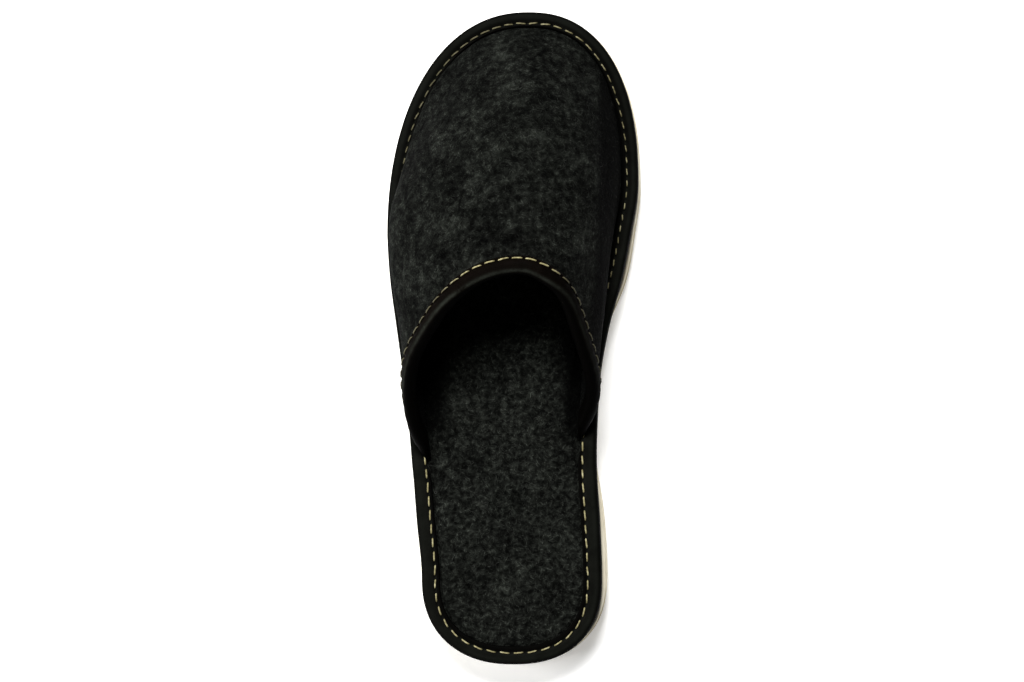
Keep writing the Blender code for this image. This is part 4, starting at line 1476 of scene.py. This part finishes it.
def strip_finish(name, groups, dark, pale, highlight_colour, roughness, highlight_and_grime):
    """Black leatherette: fine grain, a tone that drifts, a painted highlight broken up in patches,
    and painted shade where its inside mark is set.
    """
    made, tree, shader, where = start_finish(name, roughness, 0.015)
    grain = placed_group(
        tree,
        groups["grain"],
        {"Vector": where, "Cell Scale": 1250.0, "Swell Scale": 150.0, "Cell Depth": 0.5},
    )
    # Painted highlight: a paler colour where the highlight mark is set, broken up in patches.
    highlight_mark = mark_of(tree, "highlight_mark")
    painted_highlight = placed_group(
        tree, groups["highlight_and_grime"], {"Vector": where, "Edge": highlight_mark, "Amount": highlight_and_grime}
    )["Mask"]
    colour = colour_ramp(tree, grain["Tone"], ((0.2, dark), (0.8, pale)))
    colour = blended(tree, painted_highlight, colour, highlight_colour)
    lint = placed_group(
        tree, groups["lint"], {"Vector": where, "Speck Scale": 210.0, "Share": 0.03}
    )
    colour = blended(tree, lint["Mask"], colour, (0.06, 0.06, 0.052))
    # Painted shade: near black where the inside mark is set.
    inside = mark_of(tree, "inside")
    colour = blended(tree, inside, colour, (0.0004, 0.0003, 0.0002))
    tree.links.new(colour, shader.inputs["Base Color"])
    matt = maths(tree, "MULTIPLY_ADD", painted_highlight, 0.25, roughness)
    tree.links.new(matt, shader.inputs["Roughness"])
    bumped(tree, shader, grain["Height"], 0.00012, 0.7)
    return made


def foam_finish(groups):
    """Cream foam rubber: fine closed cells, a warm drift, and grime low on its edges."""
    made, tree, shader, where = start_finish("cream_foam", 0.72, 0.35)
    grain = placed_group(
        tree,
        groups["grain"],
        {"Vector": where, "Cell Scale": 1500.0, "Swell Scale": 60.0, "Cell Depth": 0.35},
    )
    colour = colour_ramp(
        tree, grain["Tone"], ((0.15, (0.70, 0.63, 0.47)), (0.85, (0.82, 0.77, 0.62)))
    )
    up = shader_node(tree, "ShaderNodeSeparateXYZ", {0: where}).outputs["Z"]
    low = maths(tree, "SUBTRACT", 1.0, between(tree, up, 0.0, 0.006))
    grime = placed_group(
        tree, groups["highlight_and_grime"], {"Vector": where, "Edge": low, "Patch Scale": 45.0, "Amount": 0.45}
    )["Mask"]
    colour = blended(tree, grime, colour, (0.26, 0.23, 0.17))
    tree.links.new(colour, shader.inputs["Base Color"])
    bumped(tree, shader, grain["Height"], 0.00015, 0.6)
    return made


def board_finish(groups):
    """Dark pressed fibre board."""
    made, tree, shader, where = start_finish("fibre_board", 0.85, 0.2)
    grain = placed_group(tree, groups["grain"], {"Vector": where, "Cell Scale": 700.0})
    colour = colour_ramp(
        tree, grain["Tone"], ((0.2, (0.030, 0.028, 0.024)), (0.8, (0.055, 0.050, 0.042)))
    )
    tree.links.new(colour, shader.inputs["Base Color"])
    bumped(tree, shader, grain["Height"], 0.0002, 0.6)
    return made


def thread_finish():
    """Waxed straw-coloured thread, uneven in tone, and darker where its mark paints shade on it."""
    made, tree, shader, where = start_finish("straw_thread", 0.58, 0.35)
    tone = noise(tree, where, 420.0, 3.0, 0.6)
    colour = colour_ramp(
        tree,
        tone,
        ((0.32, (0.13, 0.11, 0.044)), (0.52, (0.29, 0.255, 0.12)), (0.70, (0.52, 0.48, 0.28))),
    )
    # Painted shade: the thread goes towards near black by its mark.
    thread_shade = mark_of(tree, "thread_shade")
    colour = blended(tree, thread_shade, colour, (0.035, 0.032, 0.015))
    tree.links.new(colour, shader.inputs["Base Color"])
    bumped(tree, shader, noise(tree, where, 3200.0, 2.0), 0.0001, 0.6)
    return made


def hair_finish(name, dark, pale):
    made, tree, shader, where = start_finish(name, 0.7, 0.12)
    tone = noise(tree, where, 260.0, 2.0)
    colour = colour_ramp(tree, tone, ((0.35, dark), (0.65, pale)))
    tree.links.new(colour, shader.inputs["Base Color"])
    bumped(tree, shader, noise(tree, where, 5000.0, 1.0), 0.00002, 0.4)
    return made


def floor_finish():
    """A pale table, lit a little from below, so that shadows on it stay light."""
    made, tree, shader, where = start_finish("pale_floor", 0.9, 0.1)
    tone = noise(tree, where, 6.0, 2.0)
    colour = colour_ramp(tree, tone, ((0.3, (0.90, 0.90, 0.90)), (0.7, (0.92, 0.92, 0.92))))
    tree.links.new(colour, shader.inputs["Base Color"])
    shader.inputs["Emission Color"].default_value = (1.0, 1.0, 1.0, 1)
    shader.inputs["Emission Strength"].default_value = 0.3
    return made


def place_floor():
    mesh = bpy.data.meshes.new("floor")
    far = FLOOR_REACH
    corners = [(-far, -far, 0), (far, -far, 0), (far, far, 0), (-far, far, 0)]
    mesh.from_pydata(corners, [], [(0, 1, 2, 3)])
    mesh.materials.append(floor_finish())
    floor = bpy.data.objects.new("floor", mesh)
    bpy.context.scene.collection.objects.link(floor)


def place_camera():
    """Above the shoe and a little to its inner side, and turned to it."""
    eye, target = Vector(CAMERA_EYE), Vector(CAMERA_TARGET)
    back = (eye - target).normalized()
    right = Vector((0.0, 1.0, 0.0)).cross(back).normalized()
    up = back.cross(right)
    data = bpy.data.cameras.new("camera")
    data.sensor_width = CAMERA_SENSOR
    data.lens = CAMERA_LENS
    data.clip_end = 20.0
    camera = bpy.data.objects.new("camera", data)
    turned = Matrix((right, up, back)).transposed().to_4x4()
    camera.matrix_world = Matrix.Translation(eye) @ turned
    bpy.context.scene.collection.objects.link(camera)
    bpy.context.scene.camera = camera


def place_light(name, eye, size, watts):
    data = bpy.data.lights.new(name, "AREA")
    data.shape = "SQUARE"
    data.size = size
    data.energy = watts
    lamp = bpy.data.objects.new(name, data)
    towards = Vector((0.0, 0.0, 0.03)) - Vector(eye)
    turned = towards.to_track_quat("-Z", "Y").to_matrix().to_4x4()
    lamp.matrix_world = Matrix.Translation(Vector(eye)) @ turned
    bpy.context.scene.collection.objects.link(lamp)


def place_lights():
    place_light("toe_softbox", (-0.09, 1.00, 1.66), 0.6, 54.0)
    place_light("side_softbox", (-1.15, -0.10, 0.70), 0.6, 17.0)
    world = bpy.data.worlds.new("studio")
    world.use_nodes = True
    background = world.node_tree.nodes["Background"]
    background.inputs["Color"].default_value = (1, 1, 1, 1)
    background.inputs["Strength"].default_value = 0.08
    bpy.context.scene.world = world
    bpy.context.scene.view_settings.view_transform = "Standard"


def main():
    place_camera()
    place_lights()
    place_floor()
    groups = {
        "wool": wool_group(),
        "grain": grain_group(),
        "highlight_and_grime": highlight_and_grime_group(),
        "lint": lint_group(),
    }
    upper_shares, bed_shares = (0.36, 0.50, 0.32), (0.36, 0.52, 0.22)
    upper_felt = felt_finish("charcoal_felt", groups, 0.94, (330.0, 330.0), upper_shares, 0.02)
    bed_felt = felt_finish("footbed_wool", groups, 1.30, (320.0, 430.0), bed_shares, 0.04)
    # Painted shade: the lining is the felt at a tenth of its level, near black.
    lining = felt_finish("lining_wool_painted_shade", groups, 0.10, (700.0, 800.0), bed_shares, 0.0)
    # The third colour of each strip is its painted highlight, and the last number is how much of it
    # is laid on.
    edge_black = strip_finish(
        "black_leatherette",
        groups,
        (0.0028, 0.0030, 0.0023),
        (0.0043, 0.0047, 0.0036),
        (0.0085, 0.0093, 0.0075),
        0.62,
        0.4,
    )
    collar_black = strip_finish(
        "brown_black_leatherette",
        groups,
        (0.0012, 0.0007, 0.0003),
        (0.0019, 0.0011, 0.0006),
        (0.0135, 0.0148, 0.0118),
        0.62,
        1.4,
    )
    thread = thread_finish()
    pale_hair = hair_finish("pale_wool_hair", (0.010, 0.011, 0.0095), (0.042, 0.044, 0.038))
    grey_hair = hair_finish("grey_wool_hair", (0.006, 0.0066, 0.0056), (0.022, 0.023, 0.020))

    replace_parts(sole_piece(foam_finish(groups)), "outsole")
    board, pad = insole_pieces(board_finish(groups), bed_felt)
    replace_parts(board, "insole")
    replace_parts(pad, "insole")
    outside, inside = vamp_walls(upper_felt, lining)
    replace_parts(outside, "vamp")
    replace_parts(inside, "vamp")
    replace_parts(edge_strip(edge_black), "edge_binding")
    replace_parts(collar_strip(collar_black), "collar_binding")
    edge_stitching(thread)
    collar_stitching(thread)
    footbed_hairs(pale_hair)
    vamp_hairs(pale_hair)
    nap(grey_hair)


main()
